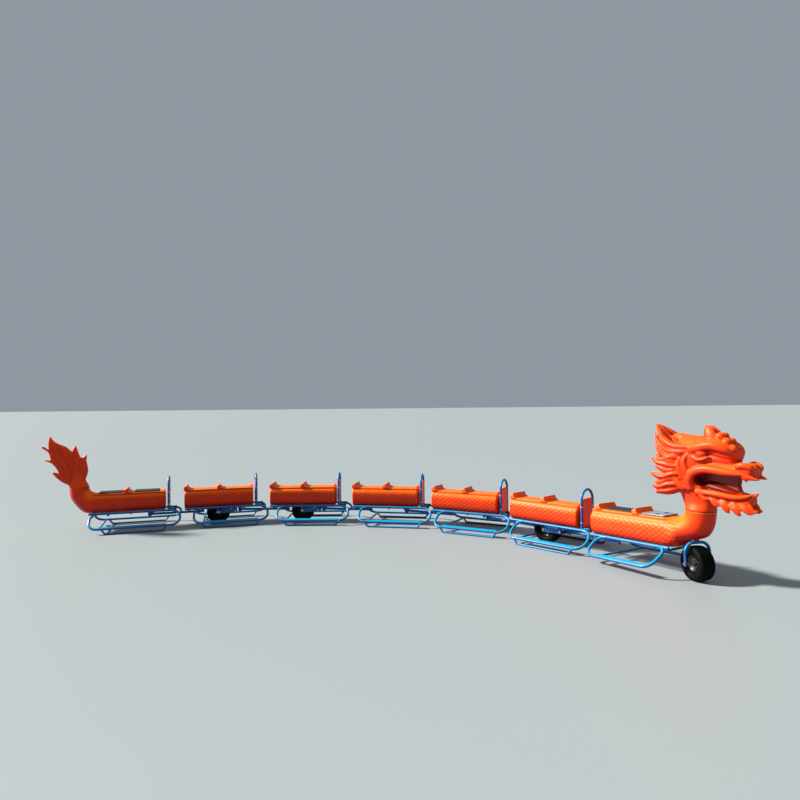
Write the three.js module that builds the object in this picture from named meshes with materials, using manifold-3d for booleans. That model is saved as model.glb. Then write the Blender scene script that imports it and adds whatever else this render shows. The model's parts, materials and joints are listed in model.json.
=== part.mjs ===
// A dragon train for riding over ice: seven seat hulls on sled frames, coupled nose to tail.
// Units are millimetres, +Z is up. Each car is drawn in its own frame: x forward from the
// hull's rear end, y to the car's left, z up from the ice. The cars then stand on a curve.
import * as THREE from 'three';
import { mergeVertices } from 'three/addons/utils/BufferGeometryUtils.js';
import Module from 'manifold-3d';

const wasm = await Module();
wasm.setup();

// Where each car's rear end stands, and its heading in degrees from +X.
// kind: tail, mid or head; wheel: a driven wheel under the hull.
const CARS = [
  { name: 'tail', kind: 'tail', x: -4300, y: 8442, yaw: 18.2, wheel: false },
  { name: 'car2', kind: 'mid', x: -3117, y: 8814, yaw: 16.3, wheel: true },
  { name: 'car3', kind: 'mid', x: -1907, y: 9026, yaw: -0.4, wheel: true },
  { name: 'car4', kind: 'mid', x: -675, y: 8932, yaw: -10.9, wheel: false },
  { name: 'car5', kind: 'mid', x: 491, y: 8555, yaw: -29.5, wheel: false },
  { name: 'car6', kind: 'mid', x: 1482, y: 7831, yaw: -47.0, wheel: true },
  { name: 'head', kind: 'head', x: 2236, y: 6857, yaw: -60.8, wheel: false },
];

// Gap kept between pieces that rest on each other.
const GAP = 0.3;

// Seat hull, the hollow-moulded body of each car.
const HULL_LENGTH = 954;
const HULL_BOTTOM = 232;
const HULL_TOP = 509;
const HULL_HALF_WIDTH = 161;
const HULL_EDGE = 22;
const SEAM_Z = 671;
// The head car rides nose up, because its wheel is taller than the sleds.
const HEAD_PITCH = 2.5;
const RISER = 18;
const NECK_X = 1233.5;
const NECK_RADIUS = 136.4;

// Steel frame.
const TUBE_R = 16;
const RAIL_Y = 155;
const RAIL_Z = 240.7;
const FOOT_Y = 380;
const FOOT_Z = 73;
const RUNNER_R = 12;
const HANGER_Y = 104;
const DRAWBAR_Z = 178;
const DRAWBAR_R = 17;
const PIVOT_X = 770;
const DRAWBAR_REACH = 470;
const HOOP_X = 1000;
const HOOP_R = 15;
const HOOP_HALF = 120;
const HOOP_TOP = 709;

// Wheels.
const TYRE_R = 165;
const TYRE_HALF = 80;
const RIM_R = 78;
const DRIVE_X = 465;
const STEER_X = 1187;
const STEER_REST = -17;
const CROWN_Z = 363;
const LEG_Y = 132;

const ORANGE = { color: 0xff5a14, roughness: 0.42, metalness: 0.0 };
const BLUE = { color: 0x0a6ebe, roughness: 0.38, metalness: 0.1 };
const RUBBER = { color: 0x101011, roughness: 0.85, metalness: 0.0 };
const PAD = { color: 0x16161a, roughness: 0.8, metalness: 0.0 };
const PALE = { color: 0xcfd6da, roughness: 0.5, metalness: 0.0 };
const STEEL = { color: 0x8d9196, roughness: 0.35, metalness: 0.9 };

const v3 = (x, y, z) => new THREE.Vector3(x, y, z);
const rad = (degrees) => THREE.MathUtils.degToRad(degrees);
const PITCH = new THREE.Matrix4().makeTranslation(0, 0, RAIL_Z)
  .multiply(new THREE.Matrix4().makeRotationY(-rad(HEAD_PITCH)))
  .multiply(new THREE.Matrix4().makeTranslation(0, 0, -RAIL_Z));

// A closed geometry becomes a solid for joining and cutting, and back.
function solid(geometry) {
  const bare = geometry.clone();
  bare.deleteAttribute('normal');
  bare.deleteAttribute('uv');
  const merged = mergeVertices(bare, 1e-3);
  return new wasm.Manifold(new wasm.Mesh({
    numProp: 3,
    vertProperties: new Float32Array(merged.attributes.position.array),
    triVerts: new Uint32Array(merged.index.array),
  }));
}

function geometryOf(body) {
  const mesh = body.getMesh();
  const geometry = new THREE.BufferGeometry();
  geometry.setAttribute('position', new THREE.BufferAttribute(mesh.vertProperties, 3));
  geometry.setIndex(new THREE.BufferAttribute(mesh.triVerts, 1));
  geometry.computeVertexNormals();
  return geometry;
}

const join = (geometries) => geometries.map(solid).reduce((a, b) => a.add(b));

function piece(name, look, shape) {
  const geometry = shape.isBufferGeometry ? shape : geometryOf(shape);
  const mesh = new THREE.Mesh(geometry, new THREE.MeshStandardMaterial(look));
  mesh.name = name;
  return mesh;
}

// A skin through rings of points that all have the same count, closed at both ends by a fan.
function loft(rings) {
  const count = rings[0].length;
  const middle = (ring) => ring.reduce((a, p) => a.add(p), v3(0, 0, 0)).divideScalar(count);
  const points = [...rings.flat(), middle(rings[0]), middle(rings.at(-1))];
  const index = [];
  const first = rings.length * count;
  const last = first + 1;
  for (let i = 0; i < count; i += 1) {
    const j = (i + 1) % count;
    for (let k = 0; k + 1 < rings.length; k += 1) {
      const a = k * count;
      const b = a + count;
      index.push(a + i, a + j, b + j, a + i, b + j, b + i);
    }
    index.push(first, j, i);
    index.push(last, first - count + i, first - count + j);
  }
  return oriented(points, index);
}

// Turns all faces outward when the skin was wound inside out.
function oriented(points, index) {
  let volume = 0;
  for (let i = 0; i < index.length; i += 3) {
    const [a, b, c] = [0, 1, 2].map((k) => points[index[i + k]]);
    volume += a.dot(b.clone().cross(c));
  }
  if (volume < 0) index.reverse();
  const geometry = new THREE.BufferGeometry().setFromPoints(points);
  geometry.setIndex(index);
  geometry.computeVertexNormals();
  return geometry;
}

// Rounds the corners of a path: corner i is replaced by an arc of radius radii[i] in steps.
function rounded(corners, radii, steps = 4, closed = false) {
  const out = [];
  const n = corners.length;
  for (let i = 0; i < n; i += 1) {
    const p = corners[i];
    if (!radii[i] || (!closed && (i === 0 || i === n - 1))) {
      out.push(p.clone());
      continue;
    }
    const a = corners[(i + n - 1) % n].clone().sub(p).normalize();
    const b = corners[(i + 1) % n].clone().sub(p).normalize();
    const half = Math.acos(THREE.MathUtils.clamp(a.dot(b), -1, 1)) / 2;
    const bisector = a.clone().add(b).normalize();
    const centre = p.clone().addScaledVector(bisector, radii[i] / Math.sin(half));
    const start = p.clone().addScaledVector(a, radii[i] / Math.tan(half)).sub(centre);
    const axis = start.clone().cross(p.clone().sub(centre)).normalize();
    const sweep = Math.PI - 2 * half;
    for (let k = 0; k <= steps; k += 1) {
      out.push(start.clone().applyAxisAngle(axis, sweep * k / steps).add(centre));
    }
  }
  return out;
}

// A round bar along a flat path, mitred at each point. normal is the path plane's normal.
function bar(path, radius, normal, { sides = 8, closed = false } = {}) {
  // A flat of the bar faces along the path's plane, so a runner has a flat sole.
  const offset = sides % 4 === 0 ? 0.5 : 0;
  const n = path.length;
  const rings = path.map((p, i) => {
    const before = closed || i > 0 ? path[(i + n - 1) % n] : null;
    const after = closed || i < n - 1 ? path[(i + 1) % n] : null;
    const into = (before ? p.clone().sub(before) : after.clone().sub(p)).normalize();
    const out = (after ? after.clone().sub(p) : into.clone()).normalize();
    const along = into.clone().add(out).normalize();
    const side = along.clone().cross(normal).normalize();
    const stretch = 1 / along.dot(out);
    const ring = [];
    for (let k = 0; k < sides; k += 1) {
      const angle = 2 * Math.PI * (k + offset) / sides;
      ring.push(p.clone()
        .addScaledVector(normal, radius * Math.cos(angle))
        .addScaledVector(side, radius * Math.sin(angle) * stretch));
    }
    return ring;
  });
  if (!closed) return loft(rings);
  const points = rings.flat();
  const index = [];
  for (let k = 0; k < n; k += 1) {
    const a = k * sides;
    const b = ((k + 1) % n) * sides;
    for (let i = 0; i < sides; i += 1) {
      const j = (i + 1) % sides;
      index.push(a + i, a + j, b + j, a + i, b + j, b + i);
    }
  }
  return oriented(points, index);
}

const straight = (a, b, radius, sides = 8) => {
  const along = b.clone().sub(a).normalize();
  const normal = Math.abs(along.z) > 0.9 ? v3(0, 1, 0) : v3(0, 0, 1);
  return bar([a, b], radius, normal.addScaledVector(along, -normal.dot(along)).normalize(), { sides });
};

const block = (low, high) => {
  const geometry = new THREE.BoxGeometry(high.x - low.x, high.y - low.y, high.z - low.z);
  return geometry.translate((low.x + high.x) / 2, (low.y + high.y) / 2, (low.z + high.z) / 2);
};

// One hull section in the plane through a top and a bottom point. roundness 0 is the seat
// hull's barrel with its lip and flat deck, 1 is a plain ellipse.
// Columns: across as a share of the half width, up as a share of the height.
const BARREL = [
  [0.00, 0.000], [0.40, 0.000], [0.70, 0.000], [0.87, 0.100], [0.97, 0.290], [1.00, 0.500],
  [0.97, 0.720], [0.88, 0.890], [0.79, 0.915], [0.78, 1.000], [0.42, 1.000], [0.00, 1.000],
];
function section(topX, topZ, lowX, lowZ, halfWidth, roundness, shrink = 1) {
  const top = v3(topX, 0, topZ);
  const low = v3(lowX, 0, lowZ);
  const half = BARREL.map(([across, up], i) => {
    const angle = Math.PI * i / (BARREL.length - 1);
    return [
      THREE.MathUtils.lerp(across, Math.sin(angle), roundness) * shrink,
      THREE.MathUtils.lerp(up, (1 - Math.cos(angle)) / 2, roundness),
    ];
  });
  const ring = [...half, ...half.slice(1, -1).reverse().map(([across, up]) => [-across, up])];
  return ring.map(([across, up]) => {
    const p = low.clone().lerp(top, 0.5 + (up - 0.5) * shrink);
    return p.setY(across * halfWidth);
  });
}
const seatSection = (x, inset = 0) => section(
  x, HULL_TOP, x, HULL_BOTTOM, HULL_HALF_WIDTH, 0, 1 - inset / HULL_HALF_WIDTH,
);

// A rounded end of a seat hull, from its face at x inwards.
const hullEnd = (x, inwards) => [
  [0, HULL_EDGE], [HULL_EDGE * 0.3, HULL_EDGE * 0.35], [HULL_EDGE, 0],
].map(([step, inset]) => seatSection(x + inwards * step, inset));

// The seat stop: a block across the deck, higher at its front edge, with a hollow front foot.
// Columns: distance from its rear face, height over the deck.
const STOP_PROFILE = [[0, -5], [0, 36], [52, 60], [62, 34], [74, 12], [98, -5]];
function seatStop(x, halfWidth = 138) {
  const sides = [-halfWidth, 8 - halfWidth, halfWidth - 8, halfWidth];
  return loft(sides.map((y) => {
    const trim = Math.abs(y) === halfWidth ? 6 : 0;
    return STOP_PROFILE.map(([along, up]) => v3(
      x + along + (along < 30 ? trim : -trim), y, HULL_TOP + (up > 0 ? up - trim : up),
    ));
  }));
}
// A low lug stands on the deck's front edge behind the hoop.
const frontLug = (x) => block(v3(x - 20, -70, HULL_TOP - 8), v3(x, 70, HULL_TOP + 30));

function midHull(driven) {
  let hull = solid(loft([...hullEnd(0, 1), ...hullEnd(HULL_LENGTH, -1).reverse()]));
  hull = hull.add(solid(seatStop(-8))).add(solid(seatStop(444)));
  hull = hull.add(solid(frontLug(HULL_LENGTH - 8)));
  if (driven) {
    const well = block(v3(DRIVE_X - 178, -94, 200), v3(DRIVE_X + 178, 94, TYRE_R * 2 + 16));
    hull = hull.subtract(solid(well));
  }
  return hull;
}

// The head car's hull runs on forward and curves up into the neck.
// Columns: top x, top z, bottom x, bottom z, half width, roundness.
const NECK_SECTIONS = [
  [914, 549, 925, 272.9, 161, 0],
  [962, 556, 998, 287, 161, 0.25],
  [1004, 566, 1054, 314, 160, 0.5],
  [1028, 578, 1108, 370, 157, 0.7],
  [1052, 596, 1200, 391, 152, 0.85],
  [1075, 622, 1290, 432, 146, 1],
  [1090, 648, 1345, 530, 140, 1],
  [NECK_X - NECK_RADIUS, SEAM_Z, NECK_X + NECK_RADIUS, SEAM_Z, NECK_RADIUS, 1],
];
function headHull() {
  const neck = NECK_SECTIONS.map((row) => section(...row));
  const socket = new THREE.CylinderGeometry(30, 30, 180, 24);
  socket.rotateX(Math.PI / 2).translate(STEER_X, 0, 450);
  const seat = [...hullEnd(0, 1)].map((ring) => ring.map((p) => p.applyMatrix4(PITCH)));
  const onDeck = [seatStop(62), seatStop(550)].map((stop) => stop.translate(0, 0, RISER));
  onDeck.push(block(v3(30, -127, HULL_TOP - 6), v3(956, 127, HULL_TOP + RISER)));
  return onDeck.reduce((hull, part) => hull.add(solid(part.applyMatrix4(PITCH))), solid(loft([...seat, ...neck])))
    .subtract(solid(socket));
}

// The tail car's hull curves up at its rear end.
// Columns as for the neck, from the seam forward.
const TAIL_SEAM_Z = 597;
const TAIL_SECTIONS = [
  [-4, TAIL_SEAM_Z, -254, TAIL_SEAM_Z, 125, 1],
  [-2, 575, -240, 480, 128, 1],
  [12, 545, -175, 365, 138, 0.8],
  [36, 522, -72, 262, 150, 0.5],
  [70, 511, 30, 235, 158, 0.2],
  [110, 509, 110, HULL_BOTTOM, 161, 0],
];
const TAIL_LENGTH = 979;
function tailHull() {
  const curve = TAIL_SECTIONS.map((row) => section(...row));
  return solid(loft([...curve, ...hullEnd(TAIL_LENGTH, -1).reverse()])).add(solid(seatStop(444)));
}

// One side of a frame: a bent ring whose top run is the rail and whose bottom run is the
// footrest. It lies in a plane that slopes outward and down. s is the distance down it.
const SLOPE_Y = FOOT_Y - RAIL_Y;
const SLOPE_Z = FOOT_Z - RAIL_Z;
const SLOPE = Math.hypot(SLOPE_Y, SLOPE_Z);
const inSlope = (side, x, s) => v3(x, side * (RAIL_Y + SLOPE_Y * s / SLOPE), RAIL_Z + SLOPE_Z * s / SLOPE);
// Columns: x, share of the way down, corner radius.
const RINGS = {
  mid: [[134, 0, 112], [134, 1, 112], [1150, 1, 128], [1150, 0, 128]],
  head: [[115, 0, 110], [115, 1, 110], [925, 1, 120], [985, 0, 95]],
  tail: [[30, 0, 110], [30, 1, 110], [1180, 1, 126], [1180, 0, 126]],
};
function sideRing(kind, side) {
  const corners = RINGS[kind].map(([x, share]) => inSlope(side, x, share * SLOPE));
  const normal = v3(0, -side * SLOPE_Z, SLOPE_Y).normalize();
  const radii = RINGS[kind].map((row) => row[2]);
  return bar(rounded(corners, radii, 3, true), TUBE_R, normal, { sides: 6, closed: true });
}

// The runner hangs under the footrest, and its flat sole is on the ice.
function runner(side, rear, front) {
  const sole = RUNNER_R * Math.cos(Math.PI / 6);
  const y = side * (FOOT_Y + 10);
  const corners = [v3(rear, y, FOOT_Z), v3(rear + 48, y, sole), v3(front - 48, y, sole), v3(front, y, FOOT_Z)];
  return bar(rounded(corners, [0, 30, 30, 0], 1), RUNNER_R, v3(0, 1, 0), { sides: 6 });
}

const across = (x, y, z, radius) => straight(v3(x, -y, z), v3(x, y, z), radius, 6);
// A cross tube under the hull, from rail to rail, that just clears it.
const underHull = (x, radius) => across(x, RAIL_Y, HULL_BOTTOM - GAP - radius, radius);
const CROSS_Z = HULL_BOTTOM - 14;
// The tread leans in, its inner edge the higher.
const TREAD_WIDE = 62;
const TREAD_THICK = 7;
const TREAD_LEAN = 10;
const tread = (side, rear, front) => block(
  v3(rear, -TREAD_WIDE / 2, -TREAD_THICK / 2), v3(front, TREAD_WIDE / 2, TREAD_THICK / 2),
).translate(0, side * (-TREAD_WIDE / 2 - 4), 0).rotateX(-side * rad(TREAD_LEAN));

// Tread's and runner's rear and front x, and the rails' front end.
const RAIL_REAR = 8;
const FRAMES = {
  mid: { footRear: 255, footFront: 1010, runnerRear: 240, runnerFront: 1030, railFront: HOOP_X },
  head: { footRear: 255, footFront: 850, railFront: 990 },
  tail: { footRear: 150, footFront: 1000, runnerRear: 190, runnerFront: 1010, railFront: HOOP_X + 24 },
};
function frame(car) {
  const { footRear, footFront, runnerRear, runnerFront, railFront } = FRAMES[car.kind];
  const parts = [];
  for (const side of [-1, 1]) {
    const rail = (from, to) => straight(
      v3(from, side * RAIL_Y, RAIL_Z), v3(to, side * RAIL_Y, RAIL_Z), TUBE_R - 0.5, 6,
    );
    parts.push(sideRing(car.kind, side));
    parts.push(rail(RAIL_REAR, RINGS[car.kind][0][0] + 130));
    if (car.kind === 'head') parts.push(rail(railFront - 100, railFront));
    parts.push(tread(side, footRear, footFront).translate(0, side * FOOT_Y, FOOT_Z + 3));
    if (car.kind !== 'head') parts.push(runner(side, runnerRear, runnerFront));
  }
  parts.push(across(footRear + 14, FOOT_Y, FOOT_Z, 12));
  for (const x of [60, 250]) parts.push(underHull(x, 13));
  if (car.wheel) {
    parts.push(underHull(ARM_PIVOT.x, 12));
    for (const low of [-HANGER_Y - 10, HANGER_Y]) {
      parts.push(block(v3(ARM_PIVOT.x - 17, low, ARM_PIVOT.z - 14), v3(ARM_PIVOT.x + 17, low + 10, CROSS_Z)));
    }
  }
  if (car.kind === 'head') {
    parts.push(underHull(railFront - 20, 13));
  } else {
    parts.push(across(railFront, RAIL_Y + 8, RAIL_Z, TUBE_R));
    parts.push(underHull(PIVOT_X, 14));
    parts.push(straight(v3(PIVOT_X, 0, CROSS_Z), v3(PIVOT_X, 0, 148), 10, 8));
    parts.push(straight(v3(PIVOT_X, 0, 148), v3(PIVOT_X, 0, 138), 22, 8));
  }
  if (car.kind === 'tail') return join(parts);
  if (car.kind === 'head') parts.forEach((part) => part.applyMatrix4(PITCH));
  // Drawbar under the rear cross tubes, back to an eye round the next car's pin.
  for (const x of [60, 250]) parts.push(block(v3(x - 8, -22, DRAWBAR_Z), v3(x + 8, 22, CROSS_Z + 8)));
  parts.push(straight(v3(265, 0, DRAWBAR_Z), v3(-DRAWBAR_REACH, 0, DRAWBAR_Z), DRAWBAR_R));
  parts.push(straight(v3(-DRAWBAR_REACH, 0, DRAWBAR_Z - 22), v3(-DRAWBAR_REACH, 0, DRAWBAR_Z + 22), 28, 12));
  const bore = straight(v3(-DRAWBAR_REACH, 0, 100), v3(-DRAWBAR_REACH, 0, 240), 12.5, 12);
  return join(parts).subtract(solid(bore));
}

// The grab hoop at each car's front end, and the moulded panel inside it.
function hoop(x) {
  const foot = RAIL_Z + TUBE_R + GAP;
  const corners = [
    v3(x, -HOOP_HALF, foot), v3(x, -HOOP_HALF, HOOP_TOP - HOOP_R),
    v3(x, HOOP_HALF, HOOP_TOP - HOOP_R), v3(x, HOOP_HALF, foot),
  ];
  return bar(rounded(corners, [0, HOOP_HALF - 1, HOOP_HALF - 1, 0], 5), HOOP_R, v3(1, 0, 0));
}
const PANEL_TOP = 592;
function hoopPanel(x) {
  const half = HOOP_HALF - HOOP_R - 2;
  const low = RAIL_Z + TUBE_R + 4;
  const shape = new THREE.Shape();
  shape.moveTo(-half, low).lineTo(half, low).lineTo(half, PANEL_TOP - 20);
  shape.quadraticCurveTo(half, PANEL_TOP, half - 20, PANEL_TOP).lineTo(20 - half, PANEL_TOP);
  shape.quadraticCurveTo(-half, PANEL_TOP, -half, PANEL_TOP - 20).lineTo(-half, low);
  const panel = new THREE.ExtrudeGeometry(shape, { depth: 26, bevelEnabled: false, curveSegments: 4 });
  // The outline is drawn across and up, so it is stood upright and set on the hoop's middle.
  return panel.applyMatrix4(new THREE.Matrix4().makeBasis(v3(0, 1, 0), v3(0, 0, 1), v3(1, 0, 0)))
    .translate(x - 13, 0, 0);
}

// A pneumatic tyre and its rim, turning on the y axis.
// Columns: distance from the middle plane, radius.
const TYRE_OUTLINE = [
  [-44, RIM_R + 2], [-66, 94], [-TYRE_HALF, 124], [-70, 152], [-38, TYRE_R],
  [38, TYRE_R], [70, 152], [TYRE_HALF, 124], [66, 94], [44, RIM_R + 2],
];
const turned = (outline, segments) => new THREE.LatheGeometry(
  outline.map(([y, r]) => new THREE.Vector2(r, y)), segments,
);
// Columns as for the tyre; the drive wheel's hub is a motor drum.
const RIM_OUTLINE = [[-42, 0], [-42, 40], [-34, 46], [-44, RIM_R], [44, RIM_R], [34, 46], [42, 40], [42, 0]];
const rim = () => turned(RIM_OUTLINE, 16);
const tyre = () => turned([...TYRE_OUTLINE, TYRE_OUTLINE[0]], 22);

// The swing arm: two plates from the hanger pins to the axle, tied ahead of the tyre.
// Columns: x, z of a plate's outline.
const ARM_PIVOT = v3(700, 0, 170);
const ARM_TIE = v3(645, 0, 214);
const ARM_INNER = 90;
const ARM_OUTER = 99;
const ARM_PLATE = [[443, 143], [443, 188], [622, 226], [664, 226], [724, 190], [716, 150], [690, 146]];
function swingArm() {
  const parts = [across(ARM_TIE.x, ARM_OUTER - 2, ARM_TIE.z, 9)];
  for (const side of [-1, 1]) {
    parts.push(loft([ARM_INNER, ARM_OUTER].map((y) => ARM_PLATE.map(([x, z]) => v3(x, side * y, z)))));
    const pin = v3(ARM_PIVOT.x, side * (ARM_INNER + 2), ARM_PIVOT.z);
    parts.push(straight(pin, pin.clone().setY(side * (HANGER_Y - GAP)), 8));
    const axle = v3(DRIVE_X, side * (42 + GAP), TYRE_R);
    parts.push(straight(axle, axle.clone().setY(side * 106), 9));
  }
  return join(parts);
}
// The drive motor is a drum between the arm's plates, on the hanger pins' line.
const MOTOR_R = 30;
const motor = () => straight(
  v3(ARM_PIVOT.x, GAP - ARM_INNER, ARM_PIVOT.z), v3(ARM_PIVOT.x, ARM_INNER - GAP, ARM_PIVOT.z), MOTOR_R, 16,
);

// The fork turns on the steering axis, which is its own z axis here.
function fork() {
  const corners = [
    v3(0, -LEG_Y, TYRE_R - 22), v3(0, -LEG_Y, CROWN_Z), v3(0, LEG_Y, CROWN_Z), v3(0, LEG_Y, TYRE_R - 22),
  ];
  const parts = [bar(rounded(corners, [0, 92, 92, 0], 5), TUBE_R - 1, v3(1, 0, 0))];
  parts.push(straight(v3(0, 0, CROWN_Z), v3(0, 0, 520), 20, 16));
  for (const side of [-1, 1]) {
    parts.push(straight(v3(0, side * (42 + GAP), TYRE_R), v3(0, side * (LEG_Y + 20), TYRE_R), 9, 12));
  }
  return join(parts);
}

// The dragon's head. A level ring of the neck and skull: centre x, height, half length, half width.
const SKULL = [
  [1233.5, SEAM_Z + GAP, NECK_RADIUS, NECK_RADIUS],
  [1226, 740, 150, 142],
  [1206, 820, 170, 150],
  [1188, 900, 190, 160],
  [1192, 1040, 214, 172],
  [1228, 1180, 246, 176],
  [1262, 1300, 252, 156],
  [1262, 1362, 216, 112],
  [1260, 1392, 130, 56],
];
const skullRing = ([x, z, long, wide]) => Array.from({ length: 20 }, (_, i) => {
  const angle = 2 * Math.PI * i / 20;
  return v3(x + long * Math.cos(angle), wide * Math.sin(angle), z);
});
// An upright ring across the snout or the jaw: x, centre z, half width, half height.
const snoutRing = ([x, z, wide, high]) => Array.from({ length: 16 }, (_, i) => {
  const angle = 2 * Math.PI * i / 16;
  return v3(x, wide * Math.cos(angle), z + high * Math.sin(angle));
});
const BROW = [
  [1290, 1255, 140, 90], [1400, 1290, 150, 108], [1490, 1288, 142, 98], [1560, 1258, 126, 84],
  [1602, 1234, 100, 62], [1620, 1222, 60, 34],
];
const SNOUT = [
  [1240, 1110, 140, 90], [1390, 1108, 156, 92], [1540, 1102, 142, 66], [1640, 1092, 126, 62],
  [1706, 1088, 120, 76], [1758, 1084, 104, 72], [1788, 1082, 62, 46],
];
const JAW = [
  [1160, 866, 112, 60], [1320, 838, 138, 88], [1480, 812, 130, 96], [1610, 792, 112, 98],
  [1706, 798, 80, 86], [1752, 826, 44, 58],
];
const TONGUE = [[1290, 930, 50, 22], [1440, 938, 66, 28], [1590, 912, 56, 28], [1655, 894, 28, 14]];
const MOUTH = [[1256, 975, 150, 28], [1400, 985, 190, 40], [1900, 968, 200, 60]];
const MOUTH_WEB = 26;
const MOUTH_WEB_FRONT = 1620;
// A flame lock curves from a broad base over a bend to a sharp tip.
function flame(base, bend, tip, wide, deep) {
  const curve = new THREE.QuadraticBezierCurve3(base, bend, tip);
  const rings = [[0, 0.8], [0.3, 1], [0.6, 0.95], [0.84, 0.6], [1, 0.06]].map(([share, scale]) => {
    const along = curve.getTangentAt(share);
    const side = along.clone().cross(v3(0, 1, 0)).normalize();
    const flat = along.clone().cross(side).normalize();
    return Array.from({ length: 6 }, (_, i) => {
      const angle = 2 * Math.PI * i / 6;
      return curve.getPointAt(share)
        .addScaledVector(side, wide * scale * Math.cos(angle))
        .addScaledVector(flat, deep * scale * Math.sin(angle));
    });
  });
  return loft(rings);
}
// Horns, mane, crest, knobs, fangs, jaw tip and beard, one row each. A row off the middle
// plane is mirrored to the other side.
// Columns: base x, y, z, bend x, y, z, tip x, y, z, half width, half depth.
const FLAMES = [
  [1260, 108, 1258, 905, 168, 1180, 768, 34, 1478, 66, 46],
  [1130, 0, 1310, 1010, 0, 1400, 902, 0, 1420, 62, 56],
  [1130, 120, 1290, 985, 185, 1285, 866, 195, 1392, 44, 36],
  [1120, 130, 1225, 985, 195, 1190, 886, 206, 1296, 58, 38],
  [1120, 140, 1140, 985, 200, 1100, 850, 208, 1140, 66, 40],
  [1110, 140, 1040, 985, 205, 1010, 836, 212, 1004, 66, 40],
  [1110, 135, 950, 985, 198, 915, 846, 208, 892, 62, 40],
  [1120, 120, 880, 1010, 180, 840, 884, 198, 810, 48, 36],
  [1375, 44, 1330, 1382, 44, 1420, 1320, 24, 1478, 70, 40],
  [1430, 24, 1340, 1470, 28, 1410, 1432, 26, 1400, 46, 34],
  [1510, 26, 1310, 1560, 30, 1350, 1525, 28, 1344, 42, 32],
  [1752, 62, 1066, 1790, 64, 1030, 1832, 58, 1020, 32, 24],
  [1700, 84, 1060, 1710, 86, 1030, 1722, 80, 1004, 26, 20],
  [1720, 34, 830, 1744, 36, 870, 1768, 24, 902, 34, 26],
  [1680, 50, 780, 1745, 48, 745, 1802, 30, 742, 48, 32],
  [1620, 76, 770, 1665, 84, 715, 1692, 84, 692, 56, 34],
  [1500, 96, 770, 1540, 108, 705, 1556, 108, 678, 60, 36],
  [1390, 104, 800, 1410, 118, 745, 1424, 118, 716, 56, 36],
];
// The rolled upper lip runs from the corner of the mouth up and forward to the nose.
// Columns: x, y, z.
const LIP = [
  [1215, 132, 880], [1222, 150, 980], [1276, 156, 1052], [1386, 156, 1084], [1560, 140, 1068], [1700, 118, 1050],
];
const LIP_R = 40;
function lip(side) {
  const path = LIP.map(([x, y, z]) => v3(x, side * y, z));
  return bar(path, LIP_R, v3(0, 1, 0), { sides: 6 });
}
function dragonHead() {
  const skull = solid(loft(SKULL.map(skullRing)));
  let head = [BROW, SNOUT, JAW].reduce((all, rows) => all.add(solid(loft(rows.map(snoutRing)))), skull);
  // The mouth is a deep recess on each side of a web, and open ahead of it.
  const web = solid(block(v3(1200, -MOUTH_WEB, 880), v3(MOUTH_WEB_FRONT, MOUTH_WEB, 1100)));
  head = head.subtract(solid(loft(MOUTH.map(snoutRing))).subtract(web)).add(solid(loft(TONGUE.map(snoutRing))));
  for (const [bx, by, bz, mx, my, mz, tx, ty, tz, wide, deep] of FLAMES) {
    for (const side of by === 0 ? [1] : [-1, 1]) {
      const lock = flame(v3(bx, side * by, bz), v3(mx, side * my, mz), v3(tx, side * ty, tz), wide, deep);
      head = head.add(solid(lock));
    }
  }
  for (const side of [-1, 1]) head = head.add(solid(lip(side)));
  return head;
}

// The tail fin: a flat flame with a thick root. Columns: x, z of its outline, from the root round.
const FIN = [
  [-255, TAIL_SEAM_Z + 6], [-330, 700], [-462, 811], [-392, 815], [-552, 980], [-490, 971], [-595, 1172],
  [-509, 1110], [-485, 1310], [-361, 1210], [-286, 1159], [-221, 1101], [-177, 1179], [-104, 1003],
  [-47, 1039], [-15, 834], [-40, 700], [-4, TAIL_SEAM_Z + 6],
];
function tailFin() {
  const shape = new THREE.Shape(FIN.map(([x, z]) => new THREE.Vector2(x, z)));
  const flame = new THREE.ExtrudeGeometry(shape, { depth: 60, bevelEnabled: false });
  flame.rotateX(Math.PI / 2).translate(0, 30, 0);
  const root = loft([
    [-129, TAIL_SEAM_Z + GAP, 125, 125], [-135, 680, 118, 96], [-170, 820, 130, 62], [-230, 960, 140, 40],
  ].map(skullRing));
  return solid(flame).add(solid(root));
}

// A flat pad or cover lying on the deck.
const pad = (rear, front, halfWidth, thick, riser = 0) => block(
  v3(rear, -halfWidth, HULL_TOP + riser + GAP), v3(front, halfWidth, HULL_TOP + riser + GAP + thick),
);

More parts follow.
